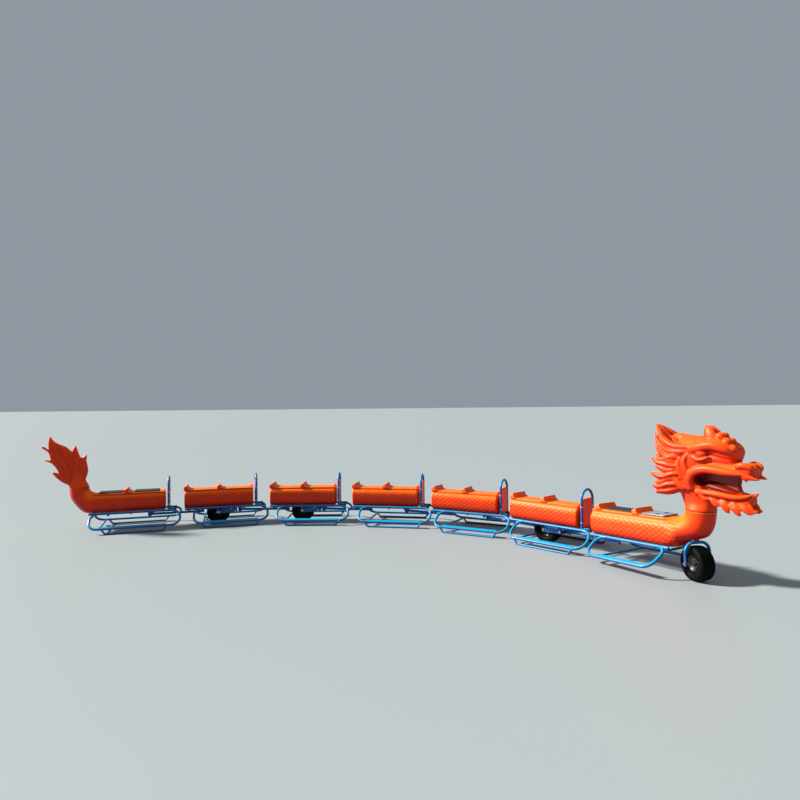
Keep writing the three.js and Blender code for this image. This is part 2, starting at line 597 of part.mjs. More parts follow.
const train = new THREE.Group();
for (const car of CARS) {
  const group = new THREE.Group();
  group.position.set(car.x, car.y, 0);
  group.rotation.z = rad(car.yaw);
  const hulls = { tail: tailHull, head: headHull, mid: () => midHull(car.wheel) };
  group.add(piece(`${car.name}_hull`, ORANGE, hulls[car.kind]()));
  group.add(piece(`${car.name}_frame`, BLUE, frame(car)));
  if (car.kind !== 'head') {
    const x = FRAMES[car.kind].railFront;
    group.add(piece(`${car.name}_hoop`, BLUE, hoop(x)));
    group.add(piece(`${car.name}_hoop_panel`, ORANGE, hoopPanel(x)));
  }
  if (car.wheel) {
    const wheel = new THREE.Group();
    wheel.position.set(DRIVE_X, 0, TYRE_R);
    wheel.add(piece(`${car.name}_tyre`, RUBBER, tyre()));
    wheel.add(piece(`${car.name}_rim`, STEEL, rim()));
    group.add(wheel);
    group.add(piece(`${car.name}_swing_arm`, BLUE, swingArm()));
    group.add(piece(`${car.name}_motor`, BLUE, motor()));
  }
  if (car.kind === 'tail') {
    group.add(piece('tail_fin', ORANGE, tailFin()));
    group.add(piece('tail_rear_pad', PAD, pad(110, 437, 118, 16)));
    group.add(piece('tail_front_pad', PAD, pad(560, 911, 118, 16)));
  }
  if (car.kind === 'head') {
    group.add(piece('dragon_head', ORANGE, dragonHead()));
    group.add(piece('head_pad', PAD, pad(166, 528, 112, 18, RISER).applyMatrix4(PITCH)));
    group.add(piece('head_cover', PALE, pad(654, 928, 112, 20, RISER).applyMatrix4(PITCH)));
    const steering = new THREE.Group();
    steering.position.set(STEER_X, 0, 0);
    steering.rotation.z = rad(STEER_REST);
    steering.add(piece('fork', BLUE, fork()));
    const wheel = new THREE.Group();
    wheel.position.set(0, 0, TYRE_R);
    wheel.add(piece('front_tyre', RUBBER, tyre()));
    wheel.add(piece('front_rim', STEEL, rim()));
    steering.add(wheel);
    group.add(steering);
  }
  train.add(group);
}

// The origin is on the ice, at the middle of the train's box.
train.updateMatrixWorld(true);
const box = new THREE.Box3().setFromObject(train, true);
const middle = box.getCenter(v3(0, 0, 0));
train.position.set(-middle.x, -middle.y, -box.min.z);

export default train;
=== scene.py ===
"""The looks of a dragon train for riding over ice: seven seat cars on blue sled frames, with a
dragon's head in front and a flame fin behind. Lengths are metres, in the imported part's frame."""
import json
import math

import bpy
import numpy as np
from mathutils import Matrix, Vector
from mathutils.geometry import tessellate_polygon


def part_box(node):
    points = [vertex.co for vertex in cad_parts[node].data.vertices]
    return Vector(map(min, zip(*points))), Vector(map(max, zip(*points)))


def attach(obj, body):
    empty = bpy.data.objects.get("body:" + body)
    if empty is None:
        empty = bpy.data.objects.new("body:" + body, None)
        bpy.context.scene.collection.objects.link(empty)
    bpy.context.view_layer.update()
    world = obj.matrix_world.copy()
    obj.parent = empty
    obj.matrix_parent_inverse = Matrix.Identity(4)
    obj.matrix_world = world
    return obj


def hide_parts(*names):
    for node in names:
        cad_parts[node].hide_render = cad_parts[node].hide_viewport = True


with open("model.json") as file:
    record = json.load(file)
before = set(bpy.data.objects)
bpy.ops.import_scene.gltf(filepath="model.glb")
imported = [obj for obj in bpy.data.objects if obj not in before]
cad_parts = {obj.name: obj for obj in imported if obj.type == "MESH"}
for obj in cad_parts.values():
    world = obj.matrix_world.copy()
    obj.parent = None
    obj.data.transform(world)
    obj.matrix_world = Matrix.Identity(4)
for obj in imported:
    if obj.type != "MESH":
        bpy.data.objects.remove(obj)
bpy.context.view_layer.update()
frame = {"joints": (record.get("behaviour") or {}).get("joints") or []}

joint_at = {joint["name"]: np.array(joint["pos_m"]) for joint in frame["joints"]}
axis_of = {joint["name"]: np.array(joint["axis"], float) for joint in frame["joints"]}


# The camera stands on the ice at eye height, a little behind the row's middle, tipped up one
# degree and leaning half a degree. Its place is measured from the front car's steering axis.
EYE = np.array([*(joint_at["steering"][:2] + (-2.8151, -5.8208)), 1.7])
TIP_UP = math.radians(-1.08)
LEAN = math.radians(-0.52)
# The picture's width, the focal length and the lens shift, in picture points.
PICTURE_WIDE, FOCAL_LONG, SHIFT_UP = 800, 608.9, -7
SENSOR, SIGHT = 36, 600


def add(name, data):
    """A new object in the scene."""
    made = bpy.data.objects.new(name, data)
    bpy.context.scene.collection.objects.link(made)
    return made


camera = add("camera", bpy.data.cameras.new("camera"))
right = (math.cos(LEAN), math.sin(LEAN) * math.sin(TIP_UP), math.sin(LEAN) * math.cos(TIP_UP))
above = (-math.sin(LEAN), math.cos(LEAN) * math.sin(TIP_UP), math.cos(LEAN) * math.cos(TIP_UP))
ahead = (0.0, math.cos(TIP_UP), -math.sin(TIP_UP))
camera.matrix_world = Matrix([
    [right[i], above[i], -ahead[i], EYE[i]] for i in range(3)
] + [[0, 0, 0, 1]])
camera.data.sensor_width = SENSOR
camera.data.lens = FOCAL_LONG / PICTURE_WIDE * SENSOR
camera.data.shift_y = SHIFT_UP / PICTURE_WIDE
camera.data.clip_end = SIGHT
bpy.context.scene.camera = camera


# The studio: a pale floor out to the horizon, a pale backdrop of even light, and one broad
# lamp, low on the left, for the long soft shadows of a winter sun.
def put(tree, kind, feeds=(), **settings):
    """One shader node. feeds are pairs of a socket and its value or the output that feeds it."""
    node = tree.nodes.new("ShaderNode" + kind)
    for name, value in settings.items():
        setattr(node, name, value)
    for socket, value in feeds:
        if isinstance(value, bpy.types.NodeSocket):
            tree.links.new(value, node.inputs[socket])
        else:
            node.inputs[socket].default_value = value
    return node


def material(name, **shader):
    """A material, its node tree and its Principled shader, with the shader's own plain values."""
    made = bpy.data.materials.new(name)
    made.use_nodes = True
    body = made.node_tree.nodes["Principled BSDF"]
    for socket, value in shader.items():
        body.inputs[socket.replace("_", " ")].default_value = value
    return made, made.node_tree, body


def maths(tree, operation, *values, **settings):
    """The output of a Math node, its inputs given in order."""
    return put(tree, "Math", enumerate(values), operation=operation, **settings).outputs[0]


def remap(tree, value, start, end, low=0.0, high=1.0):
    """A value carried from the range start to end to the range low to high, and clamped there."""
    feeds = {"Value": value, "From Min": start, "From Max": end, "To Min": low, "To Max": high}
    return put(tree, "MapRange", feeds.items()).outputs[0]


def noise(tree, place, scale, detail, roughness=0.5):
    """Fractal noise at a place."""
    feeds = {"Vector": place, "Scale": scale, "Detail": detail, "Roughness": roughness}
    return put(tree, "TexNoise", feeds.items()).outputs["Fac"]


def blend(tree, share, plain, other):
    """Two colours mixed: plain where share is 0, other where it is 1."""
    feeds = [("Factor", share), ("A", plain), ("B", other)]
    return put(tree, "Mix", feeds, data_type="RGBA").outputs["Result"]


def ramp(tree, value, stops):
    """A colour ramp over a value. stops are pairs of a value and its colour, in rising order."""
    node = put(tree, "ValToRGB", [("Fac", value)])
    elements = node.color_ramp.elements
    for element, (at, colour) in zip(elements, (stops[0], stops[-1])):
        element.position, element.color = at, colour
    for at, colour in stops[1:-1]:
        elements.new(at).color = colour
    return node.outputs["Color"]


def bumped(tree, shader, height, strength, distance):
    """Bump from a height on a shader's normal."""
    bump = put(tree, "Bump", [("Height", height), ("Strength", strength), ("Distance", distance)])
    tree.links.new(bump.outputs[0], shader.inputs["Normal"])


def layer(tree, name, output="Fac"):
    """A mesh layer's value."""
    return put(tree, "Attribute", attribute_name=name).outputs[output]


def own_place(tree):
    """Object coordinates, which are the part's frame, as every object stands at the origin."""
    return put(tree, "TexCoord").outputs["Object"]


FLOOR_HALF = 260
floor_mesh = bpy.data.meshes.new("floor")
floor_corners = [(x * FLOOR_HALF, y * FLOOR_HALF, 0) for x, y in ((-1, -1), (1, -1), (1, 1), (-1, 1))]
floor_mesh.from_pydata(floor_corners, [], [(0, 1, 2, 3)])
floor = add("floor", floor_mesh)
floor_look = material("pale_floor", Base_Color=(0.29, 0.33, 0.34, 1), Roughness=0.5)[0]
floor_mesh.materials.append(floor_look)

world = bpy.data.worlds.new("studio")
world.use_nodes = True
backdrop = world.node_tree.nodes["Background"].inputs
backdrop["Color"].default_value = (0.80, 0.88, 1.0, 1)
backdrop["Strength"].default_value = 0.35
bpy.context.scene.world = world

LAMP_TRAVELS, LAMP_POWER, LAMP_WIDE = (0.830, -0.130, -0.542), 9.4, math.radians(7)
lamp = add("lamp", bpy.data.lights.new("lamp", "SUN"))
lamp.data.energy = LAMP_POWER
lamp.data.angle = LAMP_WIDE
lamp.data.color = (1.0, 0.96, 0.90)
lamp.rotation_euler = Vector(LAMP_TRAVELS).to_track_quat("-Z", "Y").to_euler()
bpy.context.scene.view_settings.view_transform = "Standard"


# Seat hulls, one to a car: hollow rotation-moulded orange plastic, a barrel with fish scales
# pressed into its sides, a flat deck let down into it by a groove, and seat stops across.
CARS = ["tail", "car2", "car3", "car4", "car5", "car6", "head"]
HITCHES = [f"hitch_{front}_{rear}" for rear, front in zip(CARS, CARS[1:])]
PIN_X = 0.77
DRAWBAR_X = -0.47
HOOP_X = {"tail": 1.024, **{car: 1.0 for car in CARS[1:6]}}
DRIVEN = ["car2", "car3", "car6"]
NO_FANS = np.zeros((0, 3), int)


def stand(known, known_x, other):
    """A car's rear end and heading, from a point at a known x on its middle line and one ahead."""
    along = (other - known)[:2] / np.linalg.norm((other - known)[:2])
    return known[:2] - known_x * along, along


tail_hoop_middle = np.mean([np.array(corner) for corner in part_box("tail_hoop")], axis=0)
places = {"tail": stand(joint_at[HITCHES[0]], PIN_X, tail_hoop_middle)}
for i, car in enumerate(CARS[1:6]):
    places[car] = stand(joint_at[HITCHES[i]], DRAWBAR_X, joint_at[HITCHES[i + 1]])
places["head"] = stand(joint_at[HITCHES[5]], DRAWBAR_X, joint_at["steering"])


def on_car(car, points):
    """Car points (x forward, y left, z up) moved to the row: turned to its heading, then shifted."""
    rear, along = places[car]
    left = np.array([-along[1], along[0]])
    spot = rear + points[..., :1] * along + points[..., 1:2] * left
    return np.concatenate([spot, points[..., 2:3]], axis=-1)


def grid_faces(rows, cols, start, ring):
    """Corner numbers of the quads of a grid, closed round its columns where ring is true."""
    i, j = np.meshgrid(np.arange(rows - 1), np.arange(cols if ring else cols - 1), indexing="ij")
    k = (j + 1) % cols
    quads = np.stack([i * cols + j, i * cols + k, (i + 1) * cols + k, (i + 1) * cols + j], axis=-1)
    return quads.reshape(-1, 4) + start


def skin(points, closed=False):
    """A grid of ringed rows as vertices and faces. An open one gets a fan on each end row, and a
    closed one joins its last row to its first. Faces are turned outward by the enclosed volume."""
    rows, cols = points.shape[:2]
    if closed:
        points = np.concatenate([points, points[:1]])
        quads = grid_faces(rows + 1, cols, 0, True) % (rows * cols)
        vertices = points[:-1].reshape(-1, 3)
        fans = NO_FANS
    else:
        quads = grid_faces(rows, cols, 0, True)
        vertices = np.concatenate([points.reshape(-1, 3), points[0].mean(0)[None], points[-1].mean(0)[None]])
        j = np.arange(cols)
        k = (j + 1) % cols
        first, last = rows * cols, rows * cols + 1
        low = np.stack([np.full(cols, first), k, j], axis=-1)
        high = np.stack([np.full(cols, last), last - 1 - cols + j, last - 1 - cols + k], axis=-1)
        fans = np.concatenate([low, high])
    triangles = np.concatenate([quads[:, [0, 1, 2]], quads[:, [0, 2, 3]], fans])
    a, b, c = (vertices[triangles[:, n]] - vertices[0] for n in range(3))
    if np.einsum("ij,ij->", a, np.cross(b, c)) < 0:
        quads, fans = quads[:, ::-1], fans[:, ::-1]
    return vertices, quads, fans


def vertex_normals(vertices, quads, fans):
    """Unit normals of the vertices, from the summed cross products of the triangles round each."""
    triangles = np.concatenate([quads[:, [0, 1, 2]], quads[:, [0, 2, 3]], fans])
    a, b, c = (vertices[triangles[:, n]] for n in range(3))
    face = np.cross(b - a, c - a)
    total = np.stack([
        sum(np.bincount(triangles[:, n], face[:, k], len(vertices)) for n in range(3)) for k in range(3)
    ], axis=1)
    return total / np.maximum(np.linalg.norm(total, axis=1, keepdims=True), 1e-12)


def piece(name, skins, look, body, replaces=(), layers=None, crease=40):
    """One object from several skins. layers are named numbers or vectors of each vertex, with up,
    the normal's upward share, added. Edges sharper than crease degrees are shaded sharp."""
    mesh = bpy.data.meshes.new(name)
    counts = np.cumsum([0] + [len(vertices) for vertices, _, _ in skins])
    quads = np.concatenate([q + n for (_, q, _), n in zip(skins, counts)])
    fans = np.concatenate([f + n for (_, _, f), n in zip(skins, counts)])
    vertices = np.concatenate([v for v, _, _ in skins])
    mesh.vertices.add(len(vertices))
    mesh.vertices.foreach_set("co", vertices.astype(np.float32).ravel())
    mesh.loops.add(quads.size + fans.size)
    mesh.loops.foreach_set("vertex_index", np.concatenate([quads.ravel(), fans.ravel()]).astype(np.int32))
    sizes = np.concatenate([np.full(len(quads), 4), np.full(len(fans), 3)])
    mesh.polygons.add(len(sizes))
    mesh.polygons.foreach_set("loop_start", np.concatenate([[0], np.cumsum(sizes)[:-1]]).astype(np.int32))
    mesh.update(calc_edges=True)
    mesh.validate()
    upward = np.concatenate([vertex_normals(*part)[:, 2] for part in skins])
    for layer_name, values in {"up": upward, **(layers or {})}.items():
        kind = "FLOAT_VECTOR" if values.ndim == 2 else "FLOAT"
        field = "vector" if values.ndim == 2 else "value"
        attribute = mesh.attributes.new(layer_name, kind, "POINT")
        attribute.data.foreach_set(field, values.astype(np.float32).ravel())
    mesh.shade_smooth()
    mesh.set_sharp_from_angle(angle=math.radians(crease))
    mesh.materials.append(look)
    made = add(name, mesh)
    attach(made, body)
    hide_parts(*replaces)
    return made


def eased(table, count):
    """A table's rows joined by a smooth curve that passes through each of them: a cubic through
    neighbouring rows, with its slope at each row half the step between the rows beside it."""
    rows = np.array(table, float)
    rows = np.concatenate([2 * rows[:1] - rows[1:2], rows, 2 * rows[-1:] - rows[-2:-1]])
    t = np.linspace(0, len(table) - 1, count)
    k = np.minimum(t.astype(int), len(table) - 2)
    u = (t - k)[:, None]
    p0, p1, p2, p3 = (rows[k + n] for n in range(4))
    return 0.5 * (2 * p1 + (p2 - p0) * u + (2 * p0 - 5 * p1 + 4 * p2 - p3) * u**2
                  + (3 * p1 - p0 - 3 * p2 + p3) * u**3)


def smooth_step(low, high, x):
    """0 below low, 1 above high, and an even S curve between: 3t² - 2t³."""
    t = np.clip((x - low) / (high - low), 0, 1)
    return t * t * (3 - 2 * t)


HULL_LENGTH = 0.954
HULL_LOW, HULL_TOP = 0.232, 0.509
HULL_HALF = 0.161
HULL_EDGE = 0.022
DECK_HALF = 0.1256
RAIL_Z = 0.2407
SCALE_LONG, SCALE_HIGH, SCALE_RISE = 0.072, 0.050, 0.0024
NOSE_UP = math.radians(2.5)
SIDE_POINTS, KEEL_POINTS = 58, 26
KEEL_HALF, KEEL_POWER, SIDE_POWER = 0.108, 3.0, 3.3
# Half widths and heights, from the deck's edge: the groove from the shoulder, the round from the top.
GROOVE = [(0.0022, -0.006), (0, -0.0055), (-0.0006, 0.002)]
DECK_ROUND = [(-0.0015, -0.008), (-0.004, -0.003), (-0.010, -0.001)]
DECK_CROWN, DECK_SHARES = 0.002, np.array((0.8, 0.6, 0.4, 0.2, 0.0))
SCALES_FADE = 0.004, 0.020, 0.022, 0.010
WELL_X, WELL_HALF_LONG, WELL_HALF, WELL_ROOF = 0.465, 0.176, 0.093, 0.345


def barrel_half():
    """Half a hull's section, keel to deck middle, as shares of the half width and height, with the
    girth in metres: a superellipse of power 3 below and 3.3 above, a V groove, an upright deck
    edge with a small round, and a deck with a crown of 2 mm."""
    middle, half_high = (HULL_LOW + HULL_TOP) / 2, (HULL_TOP - HULL_LOW) / 2
    t = np.linspace(-math.pi / 2, math.pi / 2, 4000)
    power = np.where(t < 0, KEEL_POWER, SIDE_POWER)
    y = HULL_HALF * np.abs(np.cos(t)) ** (2 / power)
    z = middle + half_high * np.sign(t) * np.abs(np.sin(t)) ** (2 / power)
    side = (t < 0) | (y > DECK_HALF + 0.005)
    side[0] = True
    y, z = y[side], z[side]
    girth = np.concatenate([[0], np.cumsum(np.hypot(np.diff(y), np.diff(z)))])
    keel_girth = np.interp(KEEL_HALF, y[:1500], girth[:1500])
    below = np.linspace(0, keel_girth, KEEL_POINTS, endpoint=False)
    stops = np.concatenate([below, np.linspace(keel_girth, girth[-1], SIDE_POINTS)])
    y, z = np.interp(stops, girth, y), np.interp(stops, girth, z)
    groove = np.array(GROOVE) + (DECK_HALF, z[-1])
    edge = np.array(DECK_ROUND) + (DECK_HALF, HULL_TOP)
    crown = HULL_TOP + DECK_CROWN * (1 - DECK_SHARES**2) - DECK_CROWN / 2
    deck = np.stack([DECK_HALF * DECK_SHARES, crown], axis=1)
    y, z = np.concatenate([np.stack([y, z], axis=1), groove, edge, deck]).T
    girth = np.concatenate([[0], np.cumsum(np.hypot(np.diff(y), np.diff(z)))])
    first, full, fading, none = SCALES_FADE
    scaled = smooth_step(keel_girth + first, keel_girth + full, girth)
    scaled *= 1 - smooth_step(stops[-1] - fading, stops[-1] - none, girth)
    return y / HULL_HALF, (z - HULL_LOW) / (HULL_TOP - HULL_LOW), girth, scaled, stops[-1]


ACROSS, UP, GIRTH, SCALED, SHOULDER_GIRTH = barrel_half()
ON_DECK = GIRTH > SHOULDER_GIRTH + 0.004


def both_sides(half, sign=1):
    """A half section's values carried round to the other side, from keel to keel."""
    return np.concatenate([half, sign * half[-2:0:-1]])


def scale_relief(along, girth):
    """Height of the pressed scales. Crossing diagonals cut the side into a net, and each cell is a
    pillow, (1 - p⁴)(1 - q⁴) over its two diagonals, tilted so that its rear edge stands proud."""
    p = along / SCALE_LONG + girth / SCALE_HIGH
    q = along / SCALE_LONG - girth / SCALE_HIGH
    p, q = p - np.floor(p), q - np.floor(q)
    pillow = (1 - np.abs(2 * p - 1) ** 4) * (1 - np.abs(2 * q - 1) ** 4)
    return SCALE_RISE * (pillow * (1.15 - 0.3 * (p + q)) - 0.55)


def outward(points):
    """Unit normals of a ringed grid, from the cross product of its two directions."""
    along = np.gradient(points, axis=0)
    ringed = np.concatenate([points[:, -1:], points, points[:, :1]], axis=1)
    normal = np.cross(ringed[:, 2:] - ringed[:, :-2], along)
    return normal / np.maximum(np.linalg.norm(normal, axis=-1, keepdims=True), 1e-9)


def hull_grid(rows, scaled_rows, rise=0.0):
    """The hull's skin. Each row is a section: its top and bottom points, half width, roundness from
    barrel 0 to ellipse 1, and inset. A section is stretched between its two points and shrunk by
    its inset about its middle. Scales are then pushed out along the skin's normals."""
    top_x, top_z, low_x, low_z, half, roundness, inset = (column[:, None] for column in rows.T)
    share = np.linspace(0, math.pi, len(ACROSS))
    ring_across = both_sides(np.sin(share), -1)
    ring_up = both_sides((1 - np.cos(share)) / 2)
    lifted = UP + np.where(ON_DECK, rise / (HULL_TOP - HULL_LOW), 0)
    across = both_sides(ACROSS, -1) * (1 - roundness) + ring_across * roundness
    up = both_sides(lifted) * (1 - roundness) + ring_up * roundness
    shrink = 1 - inset / HULL_HALF
    up = 0.5 + (up - 0.5) * shrink
    x, z = low_x + (top_x - low_x) * up, low_z + (top_z - low_z) * up
    points = np.stack([x, across * half * shrink, z], axis=-1)
    middle_steps = np.diff(rows[:, [0, 1]] + rows[:, [2, 3]], axis=0).T / 2
    along = np.concatenate([[0], np.cumsum(np.hypot(*middle_steps))])
    along = np.repeat(along[:, None], points.shape[1], axis=1)
    girth = np.repeat(both_sides(GIRTH)[None], len(rows), axis=0)
    where = scaled_rows[:, None] * both_sides(SCALED)
    normal = outward(points)
    flip = np.sign(np.einsum("ijk,ijk->", normal, points - points.mean(axis=1, keepdims=True)))
    points = points + flip * normal * (scale_relief(along, girth) * where)[..., None]
    return points, np.stack([along, girth, where], axis=-1)


def straight_rows(start, end, round_start, round_end, step=0.006):
    """Rows of a straight hull from start to end, with a quarter round at each end that has one."""
    turn = np.linspace(0, math.pi / 2, 7)
    depth, inset = HULL_EDGE * (1 - np.cos(turn)), HULL_EDGE * (1 - np.sin(turn))
    x, pulled = [], []
    if round_start:
        x, pulled = list(start + depth), list(inset)
        start = start + HULL_EDGE
    last = end - HULL_EDGE if round_end else end
    middle = np.linspace(start, last, int((last - start) / step) + 1)[1:]
    x, pulled = x + list(middle), pulled + [0.0] * len(middle)
    if round_end:
        x, pulled = x + list(end - depth[::-1][1:]), pulled + list(inset[::-1][1:])
    x, pulled = np.array(x), np.array(pulled)
    full = np.ones_like(x)
    return np.stack([x, HULL_TOP * full, x, HULL_LOW * full, HULL_HALF * full, 0 * x, pulled], axis=1)


def nose_up(points):
    """The front car stands on its wheel, so its seat tips up round its rail's rear end."""
    x, z = points[..., 0], points[..., -1] - RAIL_Z
    turned = points.copy()
    turned[..., 0] = x * math.cos(NOSE_UP) - z * math.sin(NOSE_UP)
    turned[..., -1] = RAIL_Z + x * math.sin(NOSE_UP) + z * math.cos(NOSE_UP)
    return turned


NECK_X, NECK_RADIUS, SEAM_Z = 1.2335, 0.1364, 0.671
# Columns: top x, top z, bottom x, bottom z, half width, roundness, inset.
NECK_ROWS = [
    [0.914, 0.549, 0.925, 0.2724, 0.161, 0, 0],
    [0.962, 0.556, 0.998, 0.287, 0.161, 0.25, 0],
    [1.004, 0.566, 1.054, 0.314, 0.160, 0.5, 0],
    [1.034, 0.580, 1.116, 0.362, 0.157, 0.7, 0],
    [1.056, 0.598, 1.204, 0.392, 0.152, 0.85, 0],
    [1.077, 0.622, 1.292, 0.436, 0.146, 1, 0],
    [1.091, 0.648, 1.346, 0.532, 0.140, 1, 0],
    [NECK_X - NECK_RADIUS, SEAM_Z, NECK_X + NECK_RADIUS, SEAM_Z, NECK_RADIUS, 1, 0],
]
TAIL_SEAM_Z = 0.597
TAIL_BEND, TAIL_LENGTH, SEAT_FRONT = 0.110, 0.979, 0.924
TAIL_SCALES, NECK_SCALES = (-0.06, 0.14), (1.05, 1.30)
TAIL_ROWS = [
    [-0.004, TAIL_SEAM_Z, -0.254, TAIL_SEAM_Z, 0.125, 1, 0],
    [-0.002, 0.575, -0.240, 0.480, 0.128, 1, 0],
    [0.012, 0.545, -0.175, 0.365, 0.138, 0.8, 0],
    [0.036, 0.522, -0.072, 0.262, 0.150, 0.5, 0],
    [0.070, 0.511, 0.030, 0.235, 0.158, 0.2, 0],
    [0.110, HULL_TOP, 0.110, HULL_LOW, 0.161, 0, 0],
]
DECK_RISE = 0.018


def hull_rows(car):
    """A car's hull rows, and how far the scales show on each: not on rounded ends or near a seam."""
    if car == "tail":
        bend = eased(TAIL_ROWS, 62)
        rows = np.concatenate([bend, straight_rows(TAIL_BEND, TAIL_LENGTH, False, True)[1:]])
        return rows, smooth_step(*TAIL_SCALES, rows[:, 2]) * (rows[:, 6] == 0)
    if car == "head":
        seat = straight_rows(0, SEAT_FRONT, True, False)
        top, low = nose_up(seat[:, [0, 1]]), nose_up(seat[:, [2, 3]])
        seat[:, 0:2], seat[:, 2:4] = top, low
        rows = np.concatenate([seat, eased(NECK_ROWS, 76)[1:]])
        return rows, (rows[:, 6] == 0) * (1 - smooth_step(*NECK_SCALES, rows[:, 2]))
    rows = straight_rows(0, HULL_LENGTH, True, True)
    return rows, (rows[:, 6] == 0).astype(float)


def wheel_well(points):
    """Lifts the keel inside the drive wheel's well to its roof, with walls one grid step wide."""
    x, y = np.abs(points[..., 0] - WELL_X), np.abs(points[..., 1])
    inside = (1 - smooth_step(WELL_HALF_LONG - 0.001, WELL_HALF_LONG + 0.004, x))
    inside *= 1 - smooth_step(WELL_HALF - 0.001, WELL_HALF + 0.006, y)
    inside *= points[..., 2] < (HULL_LOW + HULL_TOP) / 2
    lifted = points.copy()
    lifted[..., 2] += inside * (WELL_ROOF - points[..., 2])
    return lifted


def corner_arc(before, corner, after, radius, steps):
    """The arc of a given radius that touches both sides of a corner."""
    a = (before - corner) / np.linalg.norm(before - corner)
    b = (after - corner) / np.linalg.norm(after - corner)
    half = math.acos(np.clip(a @ b, -1, 1)) / 2
    middle = (a + b) / np.linalg.norm(a + b)
    share = np.linspace(-1, 1, steps)[:, None] * (math.pi / 2 - half)
    sideways = a - (a @ middle) * middle
    sideways /= np.linalg.norm(sideways)
    centre = corner + middle * radius / math.sin(half)
    return centre + radius * (-middle * np.cos(share) - sideways * np.sin(share))


def rounded_outline(corners, radii, steps=5):
    """A closed outline whose corners are replaced by arcs."""
    corners = np.array(corners, float)
    sides = zip(np.roll(corners, 1, 0), corners, np.roll(corners, -1, 0), radii)
    return np.concatenate([corner_arc(*side, steps) for side in sides])


def prism(outline, start, end, edge, order=(0, 1, 2), steps=5):
    """A closed outline carried from start to end. At both ends it shrinks about its middle by a
    quarter round of radius edge. order says which axis each of outline 1, outline 2, path is."""
    turn = np.linspace(0, math.pi / 2, steps)
    depth, inset = edge * (1 - np.cos(turn)), edge * (1 - np.sin(turn))
    run = np.concatenate([start + depth, end - depth[::-1]])
    pulled = np.concatenate([inset, inset[::-1]])
    middle = (outline.max(0) + outline.min(0)) / 2
    reach = (outline.max(0) - outline.min(0)) / 2
    flat = middle + (outline - middle) * (1 - pulled[:, None, None] / reach)
    points = np.concatenate([flat, np.repeat(run[:, None, None], len(outline), axis=1)], axis=-1)
    return points[..., np.argsort(order)]


def rounded_box(low, high, radii, steps=5):
    """A rectangle between two corners, rounded. radii are one number, or one for each corner, from
    the low one along the first axis and on round."""
    corners = [low, (high[0], low[1]), high, (low[0], high[1])]
    return rounded_outline(corners, np.broadcast_to(radii, 4), steps)


STOP_HALF, STOP_EDGE = 0.138, 0.007
STOP_OUTLINE = [(0, -0.006), (0, 0.036), (0.048, 0.061), (0.062, 0.010), (0.086, 0.001), (0.086, -0.006)]
STOP_ROUNDS = [0.001, 0.006, 0.004, 0.010, 0.001, 0.001]
STOP_TAPER = 1.6
STOP_AT, HEAD_STOP_AT = [-0.008, 0.444], [0.062, 0.550]
LUG_HALF, LUG_THICK, LUG_HIGH, LUG_EDGE, LUG_BACK = 0.070, 0.020, 0.030, 0.005, 0.008


def seat_stop(x):
    """A seat stop: its side outline with rounded corners, carried across the deck and narrowed
    towards its top by a share of its height."""
    outline = rounded_outline(STOP_OUTLINE, STOP_ROUNDS) + (x, HULL_TOP)
    block = prism(outline, -STOP_HALF, STOP_HALF, STOP_EDGE, order=(0, 2, 1))
    block[..., 1] *= 1 - STOP_TAPER * np.maximum(block[..., 2] - HULL_TOP, 0)
    return block


def front_lug(x):
    """The low upright lug at the deck's front end, with rounded upper corners."""
    outline = rounded_box((-LUG_HALF, -0.008), (LUG_HALF, LUG_HIGH), [0.001, 0.001, 0.016, 0.016])
    return prism(outline + (0, HULL_TOP), x - LUG_THICK, x, LUG_EDGE, order=(1, 2, 0))


def effect(name, outputs):
    """An empty node group that takes a place and gives numbers: the group, the place's output and
    the sockets that its results go to."""
    group = bpy.data.node_groups.new(name, "ShaderNodeTree")
    group.interface.new_socket("Place", in_out="INPUT", socket_type="NodeSocketVector")
    for socket in outputs:
        group.interface.new_socket(socket, in_out="OUTPUT", socket_type="NodeSocketFloat")
    place = group.nodes.new("NodeGroupInput").outputs["Place"]
    return group, place, group.nodes.new("NodeGroupOutput").inputs


moulded, place, taken = effect("moulded_skin", ["Height", "Mottle"])
peel = noise(moulded, place, 420.0, 2.0)
height = maths(moulded, "MULTIPLY_ADD", noise(moulded, place, 26.0, 3.0), 2.5, peel)
moulded.links.new(height, taken["Height"])
moulded.links.new(noise(moulded, place, 6.5, 5.0, 0.6), taken["Mottle"])

# Colours of painted light and shade: the low and side oranges are painted shade on lower faces and sides,
# the pale orange is a painted highlight on ridges, and the two dark reds are painted shade in hollows and in
# the creases between scales.
LOW_ORANGE, SIDE_ORANGE = (0.40, 0.006, 0.0, 1), (0.74, 0.036, 0.0, 1)
HIGHLIGHT_ORANGE, HOLLOW_SHADE_RED, CREASE_SHADE_RED = (1.0, 0.16, 0.004, 1), (0.15, 0.005, 0.001, 1), (0.20, 0.008, 0.002, 1)


